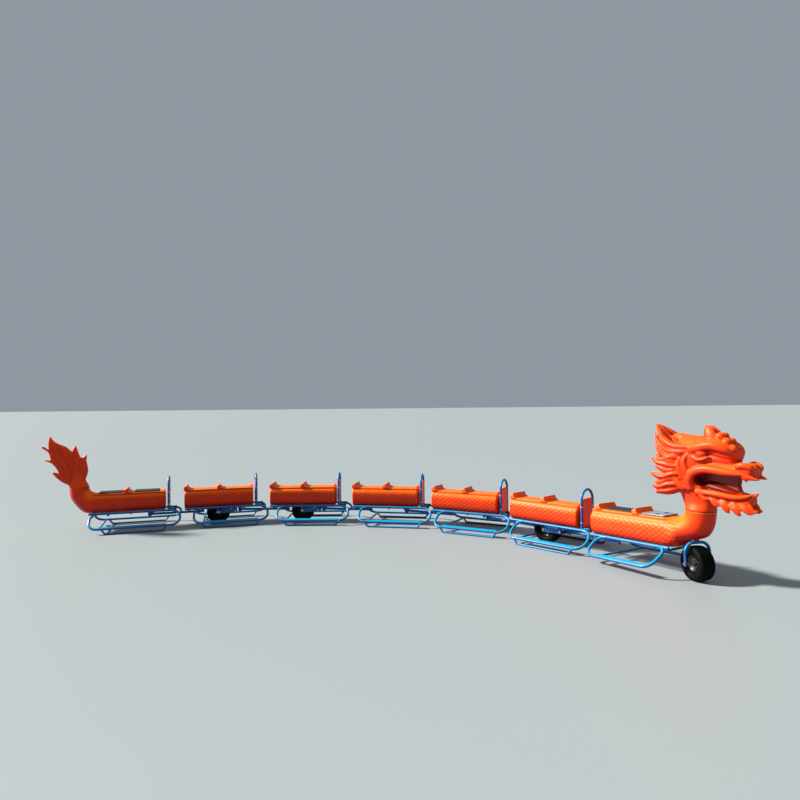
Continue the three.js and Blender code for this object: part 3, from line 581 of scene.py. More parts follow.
def orange_plastic(name, warm, lit_and_bleached, with_net):
    """Orange plastic with light and shade painted into its colour: dark red below as painted shade,
    a redder orange on its sides, the warm tone over them and the lit one on its upper faces, which
    is painted light with some sun bleaching, and all of it lighter towards the front cars as
    painted light. Ridges get a painted highlight and hollows painted shade. Its layers are up, the
    normal's upward share, fold, from -1 on a ridge to 1 in a hollow, and on hulls lay: length along
    the hull, girth, and how far the scales show."""
    look, tree, shader = material(name, Specular_IOR_Level=0.22)
    place = own_place(tree)
    pressed_skin = put(tree, "Group", [("Place", place)], node_tree=moulded).outputs
    forward = put(tree, "SeparateXYZ", [(0, place)]).outputs["X"]
    # Painted light: lighter towards the front cars, darker towards the rear ones.
    forward_light = remap(tree, forward, -2.5, 3.0, -0.20, 0.06)
    # The ramp paints shade on lower faces and light on upper ones, from the upward share; on top faces it
    # also stands for some sun bleaching.
    lit_share = remap(tree, maths(tree, "ADD", layer(tree, "up"), forward_light), -0.6, 1.0)
    tint = ramp(tree, lit_share, [(0.0, LOW_ORANGE), (0.38, SIDE_ORANGE), (0.60, warm), (1.0, lit_and_bleached)])
    fade = remap(tree, pressed_skin["Mottle"], 0.35, 0.7, 0.88, 1.08)
    colour = put(tree, "HueSaturation", [("Color", tint), ("Value", fade)]).outputs[0]
    fold = layer(tree, "fold")
    # Painted highlight on ridges and painted shade in hollows.
    ridge = maths(tree, "MULTIPLY", fold, -0.75, use_clamp=True)
    colour = blend(tree, ridge, colour, HIGHLIGHT_ORANGE)
    hollow = maths(tree, "MULTIPLY", fold, 0.9, use_clamp=True)
    colour = blend(tree, hollow, colour, HOLLOW_SHADE_RED)
    if with_net:
        # Painted shade in the creases between the scales, fainter towards the rear cars.
        colour = net_lines(tree, colour, remap(tree, forward, -3.2, 1.0, 0.15, 0.70))
    tree.links.new(colour, shader.inputs["Base Color"])
    tree.links.new(remap(tree, pressed_skin["Mottle"], 0.0, 1.0, 0.36, 0.52), shader.inputs["Roughness"])
    bumped(tree, shader, pressed_skin["Height"], 0.22, 0.0006)
    return look


def net_lines(tree, colour, crease_shade):
    """Paints shade into the creases between the scales: where p or q of the net comes near a whole
    number. The last argument is how dark this painted shade is, least on the rear cars."""
    lay = put(tree, "SeparateXYZ", [(0, layer(tree, "lay", "Vector"))]).outputs
    along = maths(tree, "MULTIPLY", lay["X"], 1 / SCALE_LONG)
    girth = maths(tree, "MULTIPLY", lay["Y"], 1 / SCALE_HIGH)
    creases = []
    for way in ("ADD", "SUBTRACT"):
        from_crease = maths(tree, "PINGPONG", maths(tree, way, along, girth), 0.5)
        creases.append(remap(tree, from_crease, 0.02, 0.10, 1.0, 0.0))
    shown = maths(tree, "MULTIPLY", maths(tree, "MAXIMUM", *creases), lay["Z"])
    return blend(tree, maths(tree, "MULTIPLY", shown, crease_shade), colour, CREASE_SHADE_RED)


# The same plastic twice, as painted light: lighter lit tones on the hulls, redder ones on the head, fin and
# panels.
scaled_plastic = orange_plastic("scaled_plastic", (1.0, 0.145, 0.002, 1), (1.0, 0.165, 0.004, 1), True)
plain_plastic = orange_plastic("plain_plastic", (0.95, 0.068, 0.001, 1), (1.0, 0.100, 0.003, 1), False)

for car in CARS:
    rows, scaled_rows = hull_rows(car)
    points, lay = hull_grid(rows, scaled_rows, DECK_RISE if car == "head" else 0.0)
    if car in DRIVEN:
        points = wheel_well(points)
    if car == "head":
        extras = [nose_up(seat_stop(x) + (0, 0, DECK_RISE)) for x in HEAD_STOP_AT]
    elif car == "tail":
        extras = [seat_stop(STOP_AT[1])]
    else:
        extras = [seat_stop(x) for x in STOP_AT] + [front_lug(HULL_LENGTH - LUG_BACK)]
    skins = [skin(on_car(car, grid)) for grid in [points] + extras]
    spare = sum(len(vertices) for vertices, _, _ in skins) - lay[..., 0].size
    lay = np.concatenate([lay.reshape(-1, 3), np.zeros((spare, 3))])
    piece(f"{car}_seat_hull", skins, scaled_plastic, f"{car}_car", [f"{car}_hull"],
          {"lay": lay})


# Sled frames of bent steel tube in blue enamel. A rail each side under the hull belongs to a closed
# ring whose lower run is the footrest, with a leaning tread inside it and a runner under it. Cross
# tubes, the drawbar to the car behind and the pin for the next drawbar complete it.
def full_turn(count):
    """Even angles once round."""
    return np.linspace(0, 2 * math.pi, count, endpoint=False)


def square_pair(axis):
    """Two unit vectors square to an axis and to each other."""
    axis = np.array(axis, float)
    guide = np.eye(3)[np.argmin(np.abs(axis))]
    first = np.cross(axis, guide) / np.linalg.norm(np.cross(axis, guide))
    return first, np.cross(axis, first)


def circle(axis, count):
    """Even angles once round an axis, and their unit vectors."""
    first, second = square_pair(axis)
    turn = full_turn(count)
    return turn, np.cos(turn)[:, None] * first + np.sin(turn)[:, None] * second


def sweep(path, across, radii, sides=18, closed=False):
    """An oval bar along a path. Each row is an ellipse square to the path: its first radius lies
    along path × across, its second along across itself, made square to the path."""
    path = np.array(path, float)
    tangent = np.roll(path, -1, 0) - np.roll(path, 1, 0) if closed else np.gradient(path, axis=0)
    tangent /= np.linalg.norm(tangent, axis=1, keepdims=True)
    side = np.cross(tangent, across)
    side /= np.linalg.norm(side, axis=1, keepdims=True)
    flat = np.cross(side, tangent)
    turn = full_turn(sides)
    radii = np.array(radii, float)
    radii = np.broadcast_to(radii if radii.ndim == 2 else radii.reshape(-1, 1), (len(path), 2))
    first = radii[:, :1, None] * np.cos(turn)[None, :, None] * side[:, None]
    second = radii[:, 1:, None] * np.sin(turn)[None, :, None] * flat[:, None]
    return path[:, None] + first + second


def rounded_path(corners, radii, steps=9):
    """An open path whose inner corners are replaced by arcs."""
    corners = np.array(corners, float)
    inner = zip(corners, corners[1:], corners[2:], radii)
    return np.concatenate([corners[:1]] + [corner_arc(*side, steps) for side in inner] + [corners[-1:]])


def rod(start, end, radius, sides=16):
    """A straight round bar."""
    start, end = np.array(start, float), np.array(end, float)
    along = (end - start) / np.linalg.norm(end - start)
    return sweep([start, (start + end) / 2, end], square_pair(along)[0], radius, sides)


def cross_rod(x, reach, z, radius, sides=16):
    """A round bar across a car, as far to the left as to the right."""
    return rod((x, -reach, z), (x, reach, z), radius, sides)


def lathe(profile, centre, axis, columns=24):
    """A profile turned about an axis. Its rows are a distance along the axis and a radius."""
    along, radius = np.array(profile, float).T[..., None, None]
    return np.array(centre) + along * np.array(axis, float) + radius * circle(axis, columns)[1]


WASHER_THICK, WELD_THICK, WELD_RIPPLE = 0.0018, 0.0036, 0.25


def bolt(centre, axis, across=0.013):
    """A hexagon bolt head on its washer: the head's radius is half its width over the cosine of the
    angle from the nearest flat's middle."""
    turn, ring = circle(axis, 24)
    hexagon = across / 2 / np.cos((turn + math.pi / 6) % (math.pi / 3) - math.pi / 6)
    washer, foot, crown = (np.full(24, across * share) for share in (0.95, 0.6, 0.46))
    rows = [(0, washer), (WASHER_THICK, washer), (WASHER_THICK, foot), (WASHER_THICK, hexagon)]
    head = across * 0.62
    rows += [(WASHER_THICK + head * 0.8, hexagon), (WASHER_THICK + head, crown)]
    grid = [radius[:, None] * ring + height * np.array(axis, float) for height, radius in rows]
    return np.array(grid) + np.array(centre)


def weld(centre, axis, radius):
    """A weld bead round a tube's end, rippled as a hand-laid seam is."""
    turn, ring = circle(axis, 40)
    thick = WELD_THICK * (1 + WELD_RIPPLE * np.cos(10 * turn))
    return sweep(np.array(centre) + (radius + 0.001) * ring, axis, thick, 8, closed=True)


RAIL_Y, FOOT_Y, FOOT_Z = 0.155, 0.380, 0.073
TUBE, RUNNER, DRAWBAR, PIN = 0.016, 0.012, 0.017, 0.010
RUNNER_SOLE, RUNNER_OUT, RUNNER_RAMP, RUNNER_BEND = 0.0104, 0.010, 0.048, 0.030
DRAWBAR_Z, DRAWBAR_ROOT = 0.178, 0.265
# Round the wall of the drawbar's eye: height from its middle, and radius.
EYE_WALL = [
    (-0.022, 0.0135), (-0.0205, 0.0125), (0.0205, 0.0125), (0.022, 0.0135),
    (0.022, 0.0265), (0.0205, 0.028), (-0.0205, 0.028), (-0.022, 0.0265),
]
CLEAR = 0.0003
CROSS_TOP, CROSS_X = HULL_LOW - CLEAR, (0.06, 0.25)
CROSS_R, ARM_CROSS_R, PIN_CROSS_R, FOOT_CROSS_R = 0.013, 0.012, 0.014, 0.012
HEAD_CROSS_BACK, FOOT_CROSS_IN, FRONT_CROSS_OUT = 0.020, 0.014, 0.008
BLOCK_EDGE, BLOCK_HALF_LONG, BLOCK_HALF, BLOCK_UNDER = 0.0015, 0.008, 0.022, 0.006
EYE_REACH, EYE_BEAD = 0.022, 0.028
RAIL_REAR, RAIL_LAP, RAIL_SINK = 0.008, 0.13, 0.0005
PIN_END, PIN_DISC, PIN_HEAD = 0.148, 0.1445, 0.1455
# Columns: x, share of the way down the slope, corner radius.
RINGS = {
    "mid": [(0.134, 0, 0.112), (0.134, 1, 0.112), (1.150, 1, 0.128), (1.150, 0, 0.128)],
    "head": [(0.115, 0, 0.110), (0.115, 1, 0.110), (0.925, 1, 0.120), (0.985, 0, 0.095)],
    "tail": [(0.030, 0, 0.110), (0.030, 1, 0.110), (1.180, 1, 0.126), (1.180, 0, 0.126)],
}
# Columns: tread rear and front x, runner rear and front x, rails' front end.
RUNS = {
    "mid": (0.255, 1.010, 0.240, 1.030, 1.000),
    "head": (0.255, 0.850, None, None, 0.990),
    "tail": (0.150, 1.000, 0.190, 1.010, 1.024),
}
TREAD_WIDE, TREAD_THICK, TREAD_EDGE, TREAD_LEAN = 0.062, 0.007, 0.0015, math.radians(10)
DIMPLE_LONG, DIMPLE_WIDE, DIMPLE_R, DIMPLE_RISE = 0.030, 0.0205, 0.0085, 0.0022
STUB_X, STUB_R, STUB_IN, STUB_OUT = (0.25, 0.54, 0.82), 0.005, 0.003, 0.016
BEAD_IN, FOOT_BEAD_IN = 0.012, 0.015
ARM_PIVOT = (0.700, 0.170)
HANGER_Y, HANGER_THICK, HANGER_HALF, HANGER_DROP = 0.104, 0.010, 0.017, 0.014
HANGER_ROUNDS = [0.013, 0.013, 0.002, 0.002]
PIN_WASHER, PIN_BOLT = [(0, 0.022), (0.0015, 0.0235), (0.0035, 0.022)], 0.020
TREAD_STEP, TREAD_IN, TREAD_UP = 0.0048, 0.004, 0.003


def on_slope(side, x, share):
    """A point of a side ring's plane, which slopes outward and down from rail to footrest."""
    return (x, side * (RAIL_Y + (FOOT_Y - RAIL_Y) * share), RAIL_Z + (FOOT_Z - RAIL_Z) * share)


def tread_plate(side, rear, front):
    """The tread: a plate, leaning in, with pressed dimples in staggered rows. Each rises by
    1 - (distance from its middle / radius)² of 2.2 mm."""
    x = np.linspace(rear, front, int((front - rear) / TREAD_STEP) + 1)
    y = np.linspace(TREAD_EDGE, TREAD_WIDE - TREAD_EDGE, 15)
    row = np.round((y - TREAD_WIDE / 2) / DIMPLE_WIDE)
    u = (x[:, None] - rear) / DIMPLE_LONG + 0.5 * (row % 2)
    from_middle = np.hypot((u - np.round(u)) * DIMPLE_LONG, y - TREAD_WIDE / 2 - row * DIMPLE_WIDE)
    top = TREAD_THICK / 2 + DIMPLE_RISE * np.clip(1 - (from_middle / DIMPLE_R) ** 2, 0, 1)
    upper = np.stack([np.broadcast_to(x[:, None], top.shape), np.broadcast_to(y, top.shape), top], axis=-1)
    low, edge = -TREAD_THICK / 2, TREAD_THICK / 2 - TREAD_EDGE
    ends = [(TREAD_WIDE, edge), (TREAD_WIDE, -edge), (TREAD_WIDE - TREAD_EDGE, low)]
    ends += [(TREAD_EDGE, low), (0, -edge), (0, edge)]
    lower = np.array([[(px, py, pz) for py, pz in ends] for px in x])
    grid = np.concatenate([upper, lower], axis=1)
    inward, up = grid[..., 1] + TREAD_IN, grid[..., 2]
    y = FOOT_Y - inward * math.cos(TREAD_LEAN) + up * math.sin(TREAD_LEAN)
    z = FOOT_Z + TREAD_UP + inward * math.sin(TREAD_LEAN) + up * math.cos(TREAD_LEAN)
    return np.stack([grid[..., 0], side * y, z], axis=-1)


def frame_grids(car):
    """A frame's open and closed grids in car points. The front car's ride nose up with it."""
    kind = car if car in RINGS else "mid"
    tread_rear, tread_front, runner_rear, runner_front, rail_front = RUNS[kind]
    bars, rings = [], []
    for side in (1, -1):
        normal = np.array([0, -side * (FOOT_Z - RAIL_Z), FOOT_Y - RAIL_Y])
        corners = [on_slope(side, x, share) for x, share, _ in RINGS[kind]]
        path = rounded_outline(corners, [row[2] for row in RINGS[kind]], 15)
        rings.append(sweep(path, normal / np.linalg.norm(normal), TUBE, 20, closed=True))
        y = side * RAIL_Y
        rails = [(RAIL_REAR, RINGS[kind][0][0] + RAIL_LAP)]
        if kind == "head":
            rails.append((rail_front - 0.1, rail_front))
        bars += [rod((rear, y, RAIL_Z), (front, y, RAIL_Z), TUBE - RAIL_SINK, 20) for rear, front in rails]
        bars.append(tread_plate(side, tread_rear, tread_front))
        low = RAIL_Z - TUBE
        for x in STUB_X:
            bars.append(rod((x, y, low + STUB_IN), (x, y, low - STUB_OUT), STUB_R, 12))
            bars.append(bolt((x, y, low - 0.001), (0, 0, -1)))
        if kind != "head":
            y = side * (FOOT_Y + RUNNER_OUT)
            corners = [(runner_rear, y, FOOT_Z), (runner_rear + RUNNER_RAMP, y, RUNNER_SOLE)]
            corners += [(runner_front - RUNNER_RAMP, y, RUNNER_SOLE), (runner_front, y, FOOT_Z)]
            sole = sweep(rounded_path(corners, [RUNNER_BEND] * 2), (0, 1, 0), RUNNER)
            sole[..., 2] = np.maximum(sole[..., 2], 0)
            bars.append(sole)
    crossings = [(x, CROSS_R) for x in CROSS_X]
    if car in DRIVEN:
        crossings.append((ARM_PIVOT[0], ARM_CROSS_R))
    crossings.append((rail_front - HEAD_CROSS_BACK, CROSS_R) if kind == "head" else (PIN_X, PIN_CROSS_R))
    crossings = [(x, RAIL_Y, CROSS_TOP - radius, radius, BEAD_IN) for x, radius in crossings]
    crossings.append((tread_rear + FOOT_CROSS_IN, FOOT_Y, FOOT_Z, FOOT_CROSS_R, FOOT_BEAD_IN))
    for x, reach, z, radius, bead_in in crossings:
        bars.append(cross_rod(x, reach, z, radius))
        rings += [weld((x, side * (reach - bead_in), z), (0, 1, 0), radius) for side in (1, -1)]
    if car in DRIVEN:
        low = (ARM_PIVOT[0] - HANGER_HALF, ARM_PIVOT[1] - HANGER_DROP)
        high = (ARM_PIVOT[0] + HANGER_HALF, CROSS_TOP - HANGER_DROP)
        outline = rounded_box(low, high, HANGER_ROUNDS)
        for y in (-HANGER_Y - HANGER_THICK, HANGER_Y):
            bars.append(prism(outline, y, y + HANGER_THICK, BLOCK_EDGE, order=(0, 2, 1)))
    if kind == "head":
        bars, rings = [nose_up(grid) for grid in bars], [nose_up(grid) for grid in rings]
    else:
        bars.append(cross_rod(rail_front, RAIL_Y + FRONT_CROSS_OUT, RAIL_Z, TUBE, 20))
        bars.append(rod((PIN_X, 0, CROSS_TOP - PIN_CROSS_R), (PIN_X, 0, PIN_END), PIN))
        bars.append(lathe(PIN_WASHER, (PIN_X, 0, PIN_DISC), (0, 0, 1)))
        bars.append(bolt((PIN_X, 0, PIN_HEAD), (0, 0, -1), PIN_BOLT))
    if kind == "tail":
        return bars, rings
    bar_grids, eye_grids = drawbar()
    return bars + bar_grids, rings + eye_grids


def drawbar():
    """The open and closed grids of the bar to the car behind: its hangers, tube, eye and weld."""
    bars = []
    for x in CROSS_X:
        high = (x + BLOCK_HALF_LONG, CROSS_TOP - BLOCK_UNDER)
        outline = rounded_box((x - BLOCK_HALF_LONG, DRAWBAR_Z), high, 0.001)
        bars.append(prism(outline, -BLOCK_HALF, BLOCK_HALF, BLOCK_EDGE, order=(0, 2, 1)))
    bars.append(rod((DRAWBAR_ROOT, 0, DRAWBAR_Z), (DRAWBAR_X + EYE_REACH, 0, DRAWBAR_Z), DRAWBAR, 20))
    rings = [lathe(EYE_WALL, (DRAWBAR_X, 0, DRAWBAR_Z), (0, 0, 1), 32)]
    rings.append(weld((DRAWBAR_X + EYE_BEAD, 0, DRAWBAR_Z), (1, 0, 0), DRAWBAR))
    return bars, rings


worn, place, taken = effect("worn_enamel", ["Chip", "Fade", "Height"])
chip = remap(worn, noise(worn, place, 46.0, 7.0, 0.72), 0.665, 0.685)
worn.links.new(chip, taken["Chip"])
worn.links.new(noise(worn, place, 7.0, 4.0), taken["Fade"])
worn.links.new(maths(worn, "MULTIPLY_ADD", chip, -1.6, noise(worn, place, 300.0, 1.0)), taken["Height"])


def enamel(name, deep, pale, bare):
    """Glossy enamel on steel, paler in random patches and paler on its upper faces by the layer up,
    which is painted light; chipped to bare metal here and there and worn off where it slides."""
    look, tree, shader = material(name, Specular_IOR_Level=0.3, Coat_Weight=0.15, Coat_Roughness=0.15)
    place = own_place(tree)
    wear = put(tree, "Group", [("Place", place)], node_tree=worn).outputs
    # Paler in random patches, and paler on upper faces as painted light.
    fade_and_light = maths(tree, "MULTIPLY_ADD", wear["Fade"], 0.6, layer(tree, "up"))
    tint = blend(tree, remap(tree, fade_and_light, 0.05, 1.3), deep, pale)
    height = put(tree, "SeparateXYZ", [(0, place)]).outputs["Z"]
    steel = maths(tree, "MAXIMUM", wear["Chip"], remap(tree, height, 0.0025, 0.0045, 1.0, 0.0))
    tree.links.new(blend(tree, steel, tint, bare), shader.inputs["Base Color"])
    tree.links.new(steel, shader.inputs["Metallic"])
    tree.links.new(remap(tree, steel, 0.0, 1.0, 0.36, 0.50), shader.inputs["Roughness"])
    bumped(tree, shader, wear["Height"], 0.25, 0.0005)
    return look


blue_enamel = enamel("blue_enamel", (0.003, 0.040, 0.26, 1), (0.003, 0.31, 0.54, 1), (0.23, 0.22, 0.21, 1))


def car_piece(car, name, bars, rings, look, slot, replaces=()):
    """A piece fixed to a car, from open and closed grids in car points."""
    skins = [skin(on_car(car, grid)) for grid in bars]
    skins += [skin(on_car(car, grid), closed=True) for grid in rings]
    piece(f"{car}_{name}", skins, look, f"{car}_car", replaces)


for car in CARS:
    car_piece(car, "sled_frame", *frame_grids(car), blue_enamel, "blue_paint", [f"{car}_frame"])


# Grab hoops on the front cross tube of six cars, each with an orange panel inside that keeps a
# rider's feet off the hitch, held to the hoop by four clips, and two rubber buffers ahead of it.
HOOP_R, HOOP_HALF, HOOP_TOP, HOOP_FOOT = 0.015, 0.120, 0.709, RAIL_Z + TUBE + CLEAR
PANEL_HALF, PANEL_LOW, PANEL_TOP, PANEL_THICK = 0.103, 0.2607, 0.592, 0.013
CLIP_Z, CLIP_IN, CLIP_OUT, CLIP_HALF = (0.320, 0.500), 0.082, 0.108, 0.008
BLOCK_LOW, BLOCK_HIGH = (0.070, 0.225), (0.125, 0.262)
BLOCK_REAR, BUFFER_REAR, BUFFER_FRONT = 0.012, 0.080, 0.105
PANEL_EDGE, PANEL_ROUNDS = 0.006, [0.006, 0.006, 0.024, 0.024]
STRAP_THICK, STRAP_HALF, STRAP_OUT, TAB_THICK, TAB_ROUND = 0.0014, 0.008, 0.0012, 0.0018, 0.003
CLIP_BOLT_IN, CLIP_BOLT, BUFFER_ROUND, BUFFER_EDGE = 0.016, 0.010, 0.004, 0.006
zinc = material("zinc", Base_Color=(0.42, 0.42, 0.41, 1), Metallic=1.0, Roughness=0.34)[0]
rubber, tree, shader = material("black_rubber", Base_Color=(0.012, 0.012, 0.013, 1), Roughness=0.62)
bumped(tree, shader, noise(tree, own_place(tree), 160.0, 3.0), 0.3, 0.0006)

for car in CARS[:-1]:
    x = HOOP_X[car]
    corners = [(x, -HOOP_HALF, HOOP_FOOT), (x, -HOOP_HALF, HOOP_TOP - HOOP_R)]
    corners += [(x, -y, z) for _, y, z in corners[::-1]]
    hoop = sweep(rounded_path(corners, [HOOP_HALF - 0.001] * 2, 25), (1, 0, 0), HOOP_R, 20)
    beads = [weld((x, side * HOOP_HALF, HOOP_FOOT + 0.003), (0, 0, 1), HOOP_R) for side in (1, -1)]
    car_piece(car, "grab_hoop", [hoop], beads, blue_enamel, "blue_paint", [f"{car}_hoop"])
    outline = rounded_box((-PANEL_HALF, PANEL_LOW), (PANEL_HALF, PANEL_TOP), PANEL_ROUNDS, 7)
    panel = prism(outline, x - PANEL_THICK, x + PANEL_THICK, PANEL_EDGE, order=(1, 2, 0))
    car_piece(car, "foot_panel", [panel], [], plain_plastic, "orange_plastic", [f"{car}_hoop_panel"])
    heads, straps, buffers = [], [], []
    for side in (1, -1):
        for z in CLIP_Z:
            turn = full_turn(24)
            leg = np.stack([np.cos(turn), np.sin(turn), 0 * turn], axis=1) * (HOOP_R + STRAP_OUT)
            band = np.array([(STRAP_THICK, STRAP_HALF)] * 24)
            straps.append(sweep(leg + (x, side * HOOP_HALF, z), (0, 0, 1), band, 8, closed=True))
            face = x + PANEL_THICK
            heads.append(bolt((face, side * (PANEL_HALF - CLIP_BOLT_IN), z), (1, 0, 0), CLIP_BOLT))
            tab = rounded_box((CLIP_IN, z - CLIP_HALF), (CLIP_OUT, z + CLIP_HALF), TAB_ROUND)
            heads.append(prism(tab * (side, 1), face, face + TAB_THICK, 0.0004, order=(1, 2, 0)))
        outline = rounded_box(BLOCK_LOW, BLOCK_HIGH, BUFFER_ROUND) * (side, 1)
        buffers.append(prism(outline, x + BUFFER_REAR, x + BUFFER_FRONT, BUFFER_EDGE, order=(1, 2, 0)))
        block = prism(outline, x + BLOCK_REAR, x + BUFFER_REAR, 0.001, order=(1, 2, 0))
        name = f"buffer_block_{'left' if side > 0 else 'right'}"
        car_piece(car, name, [block], [], blue_enamel, "blue_paint")
    car_piece(car, "panel_clips", heads, straps, zinc, "wheel_steel")
    car_piece(car, "buffers", buffers, [], rubber, "tyre")


# Wheels: fat low-pressure tyres with a turf tread on pressed steel rims. The front one is steered,
# and the three under the middle cars are driven.
TYRE_R = 0.165
# Columns: distance from the middle plane, radius, from one bead round the tread to the other.
TYRE_SIDE = [
    (0.040, 0.0800), (0.047, 0.0830), (0.056, 0.0880), (0.068, 0.0985), (0.0785, 0.1150), (0.0795, 0.1300),
    (0.0760, 0.1440), (0.0690, 0.1535), (0.0560, 0.1590), (0.0380, 0.1612), (0.0190, 0.1622), (0.0, 0.1625),
]
LUG_COUNT, LUG_RISE, LUG_PITCH = 36, 0.0030, 0.0205
SIDE_RIBS, SIDE_RIB_RISE, SIDE_RIB_WIDE = (0.118, 0.094), 0.0012, 0.0016
BEAD = [(-0.036, 0.0805), (-0.030, 0.0815), (0.030, 0.0815), (0.036, 0.0805)]


def tyre_grid(columns=320):
    """The tyre: its profile carried round, with square lugs in staggered rows. A lug's height is a
    flat top with sides 2 mm wide, from the distance to its cell's edges. Two thin ribs, each
    exp(-((radius - its own) / width)²) high, run round each side."""
    half = eased(TYRE_SIDE, 44)
    outer = np.concatenate([half, half[-2::-1] * (-1, 1)])
    profile = np.concatenate([outer, BEAD])
    turn = full_turn(columns)
    y = np.repeat(profile[:, :1], columns, axis=1)
    radius = np.repeat(profile[:, 1:], columns, axis=1)
    row = np.clip(np.round(y / LUG_PITCH), -3, 3)
    u = turn[None] / (2 * math.pi) * LUG_COUNT + 0.5 * (row % 2)
    lengthwise = (0.5 - np.abs(u - np.floor(u) - 0.5)) * 2 * math.pi * TYRE_R / LUG_COUNT
    crosswise = LUG_PITCH / 2 - np.abs(y - row * LUG_PITCH)
    lug = smooth_step(0.0022, 0.0042, lengthwise) * smooth_step(0.0016, 0.0034, crosswise)
    shoulder = smooth_step(0.146, 0.153, radius)
    rib = sum(SIDE_RIB_RISE * np.exp(-((radius - at) / SIDE_RIB_WIDE) ** 2) for at in SIDE_RIBS)
    y = y + np.sign(y) * rib * (np.abs(y) > 0.05)
    radius = radius + LUG_RISE * lug * shoulder
    return np.stack([radius * np.cos(turn), y, radius * np.sin(turn)], axis=-1)


# Columns: distance from the middle plane, radius, from the axle to the rim's seat on one side.
RIM_SIDE = [
    (-0.030, 0.0), (-0.030, 0.019), (-0.022, 0.021), (-0.020, 0.034), (-0.024, 0.046), (-0.030, 0.058),
    (-0.034, 0.068), (-0.0405, 0.0725), (-0.0430, 0.0765), (-0.0438, 0.0790), (-0.041, 0.0795),
    (-0.036, 0.0780),
]
VALVE, VALVE_AT = [(0, 0.0030), (0.012, 0.0028), (0.013, 0.0022), (0.017, 0.0022)], (0.061, 0.030, 0)
NUT_OUT, NUT_FACE, NUT_FIRST, NUT_ACROSS = 0.036, 0.0195, 0.4, 0.011
tyre_rubber, tree, shader = material("tyre_rubber", Roughness=0.62, Specular_IOR_Level=0.06)
scuff = noise(tree, own_place(tree), 34.0, 6.0, 0.65)
tint = ramp(tree, scuff, [(0.35, (0.0012, 0.0013, 0.0015, 1)), (0.75, (0.005, 0.005, 0.005, 1))])
tree.links.new(tint, shader.inputs["Base Color"])
bumped(tree, shader, scuff, 0.3, 0.001)
dark_greys = [(0.003, 0.0035, 0.004, 1), (0.006, 0.0065, 0.007, 1), (0.05, 0.048, 0.045, 1)]
# The black enamel is painted lighter on its upper faces too.
black_steel = enamel("black_steel", *dark_greys)


def on_axle(joint, points, middle=None):
    """Points x forward, y along a wheel joint's axle and z up, from its middle or another one."""
    axle = axis_of[joint]
    forward = np.cross(axle, (0, 0, 1))
    middle = joint_at[joint] if middle is None else middle
    ahead, beside, high = (points[..., n:n + 1] for n in range(3))
    return middle + ahead * forward + beside * axle + high * np.array((0, 0, 1))


tyre_points = tyre_grid()
rim_grid = lathe(RIM_SIDE + [(-y, r) for y, r in RIM_SIDE[::-1]], (0, 0, 0), (0, 1, 0), 72)
valve = lathe(VALVE, VALVE_AT, (0, 1, 0), 12)
for wheel in ["front"] + DRIVEN:
    body, joint = f"{wheel}_wheel", f"{wheel}_wheel_spin"
    tyre_skin = skin(on_axle(joint, tyre_points), closed=True)
    piece(f"{body}_tyre", [tyre_skin], tyre_rubber, body, [f"{wheel}_tyre"])
    disc_skins = [skin(on_axle(joint, grid)) for grid in (rim_grid, valve)]
    piece(f"{body}_disc", disc_skins, black_steel, body, [f"{wheel}_rim"])
    nuts = []
    for turn in np.arange(4) * math.pi / 2 + NUT_FIRST:
        for side in (1, -1):
            spot = (NUT_OUT * math.cos(turn), side * NUT_FACE, NUT_OUT * math.sin(turn))
            nuts.append(bolt(spot, (0, side, 0), NUT_ACROSS))
    piece(f"{body}_nuts", [skin(on_axle(joint, grid)) for grid in nuts], zinc, body)


# Swing arms that press the driven wheels on the ice: two steel plates each, tied ahead of the
# tyre, with a ribbed drive motor drum between them on the hanger pins' line.
ARM_TIE = (0.645, 0.214)
ARM_INNER, ARM_OUTER, ARM_EDGE, TIE_R, PIVOT_R = 0.090, 0.099, 0.0015, 0.009, 0.013
AXLE_BOLT, PIVOT_BOLT, TIE_BOLT = 0.018, 0.014, 0.012
ARM_PLATE = [
    (0.443, 0.143), (0.443, 0.188), (0.622, 0.226), (0.664, 0.226), (0.724, 0.190), (0.716, 0.150),
    (0.690, 0.146),
]
ARM_ROUNDS = [0.020, 0.020, 0.016, 0.016, 0.014, 0.014, 0.010]
MOTOR_R, MOTOR_HALF, MOTOR_CAP, RIBBED_HALF, RIB_PITCH = 0.030, 0.0895, 0.0835, 0.066, 0.011
DRIVE_X, AXLE_R, AXLE_IN, AXLE_OUT = 0.465, 0.009, 0.0305, 0.102


def beside(spot, y):
    """A car point at a height and length, y to the left."""
    return (spot[0], y, spot[1])


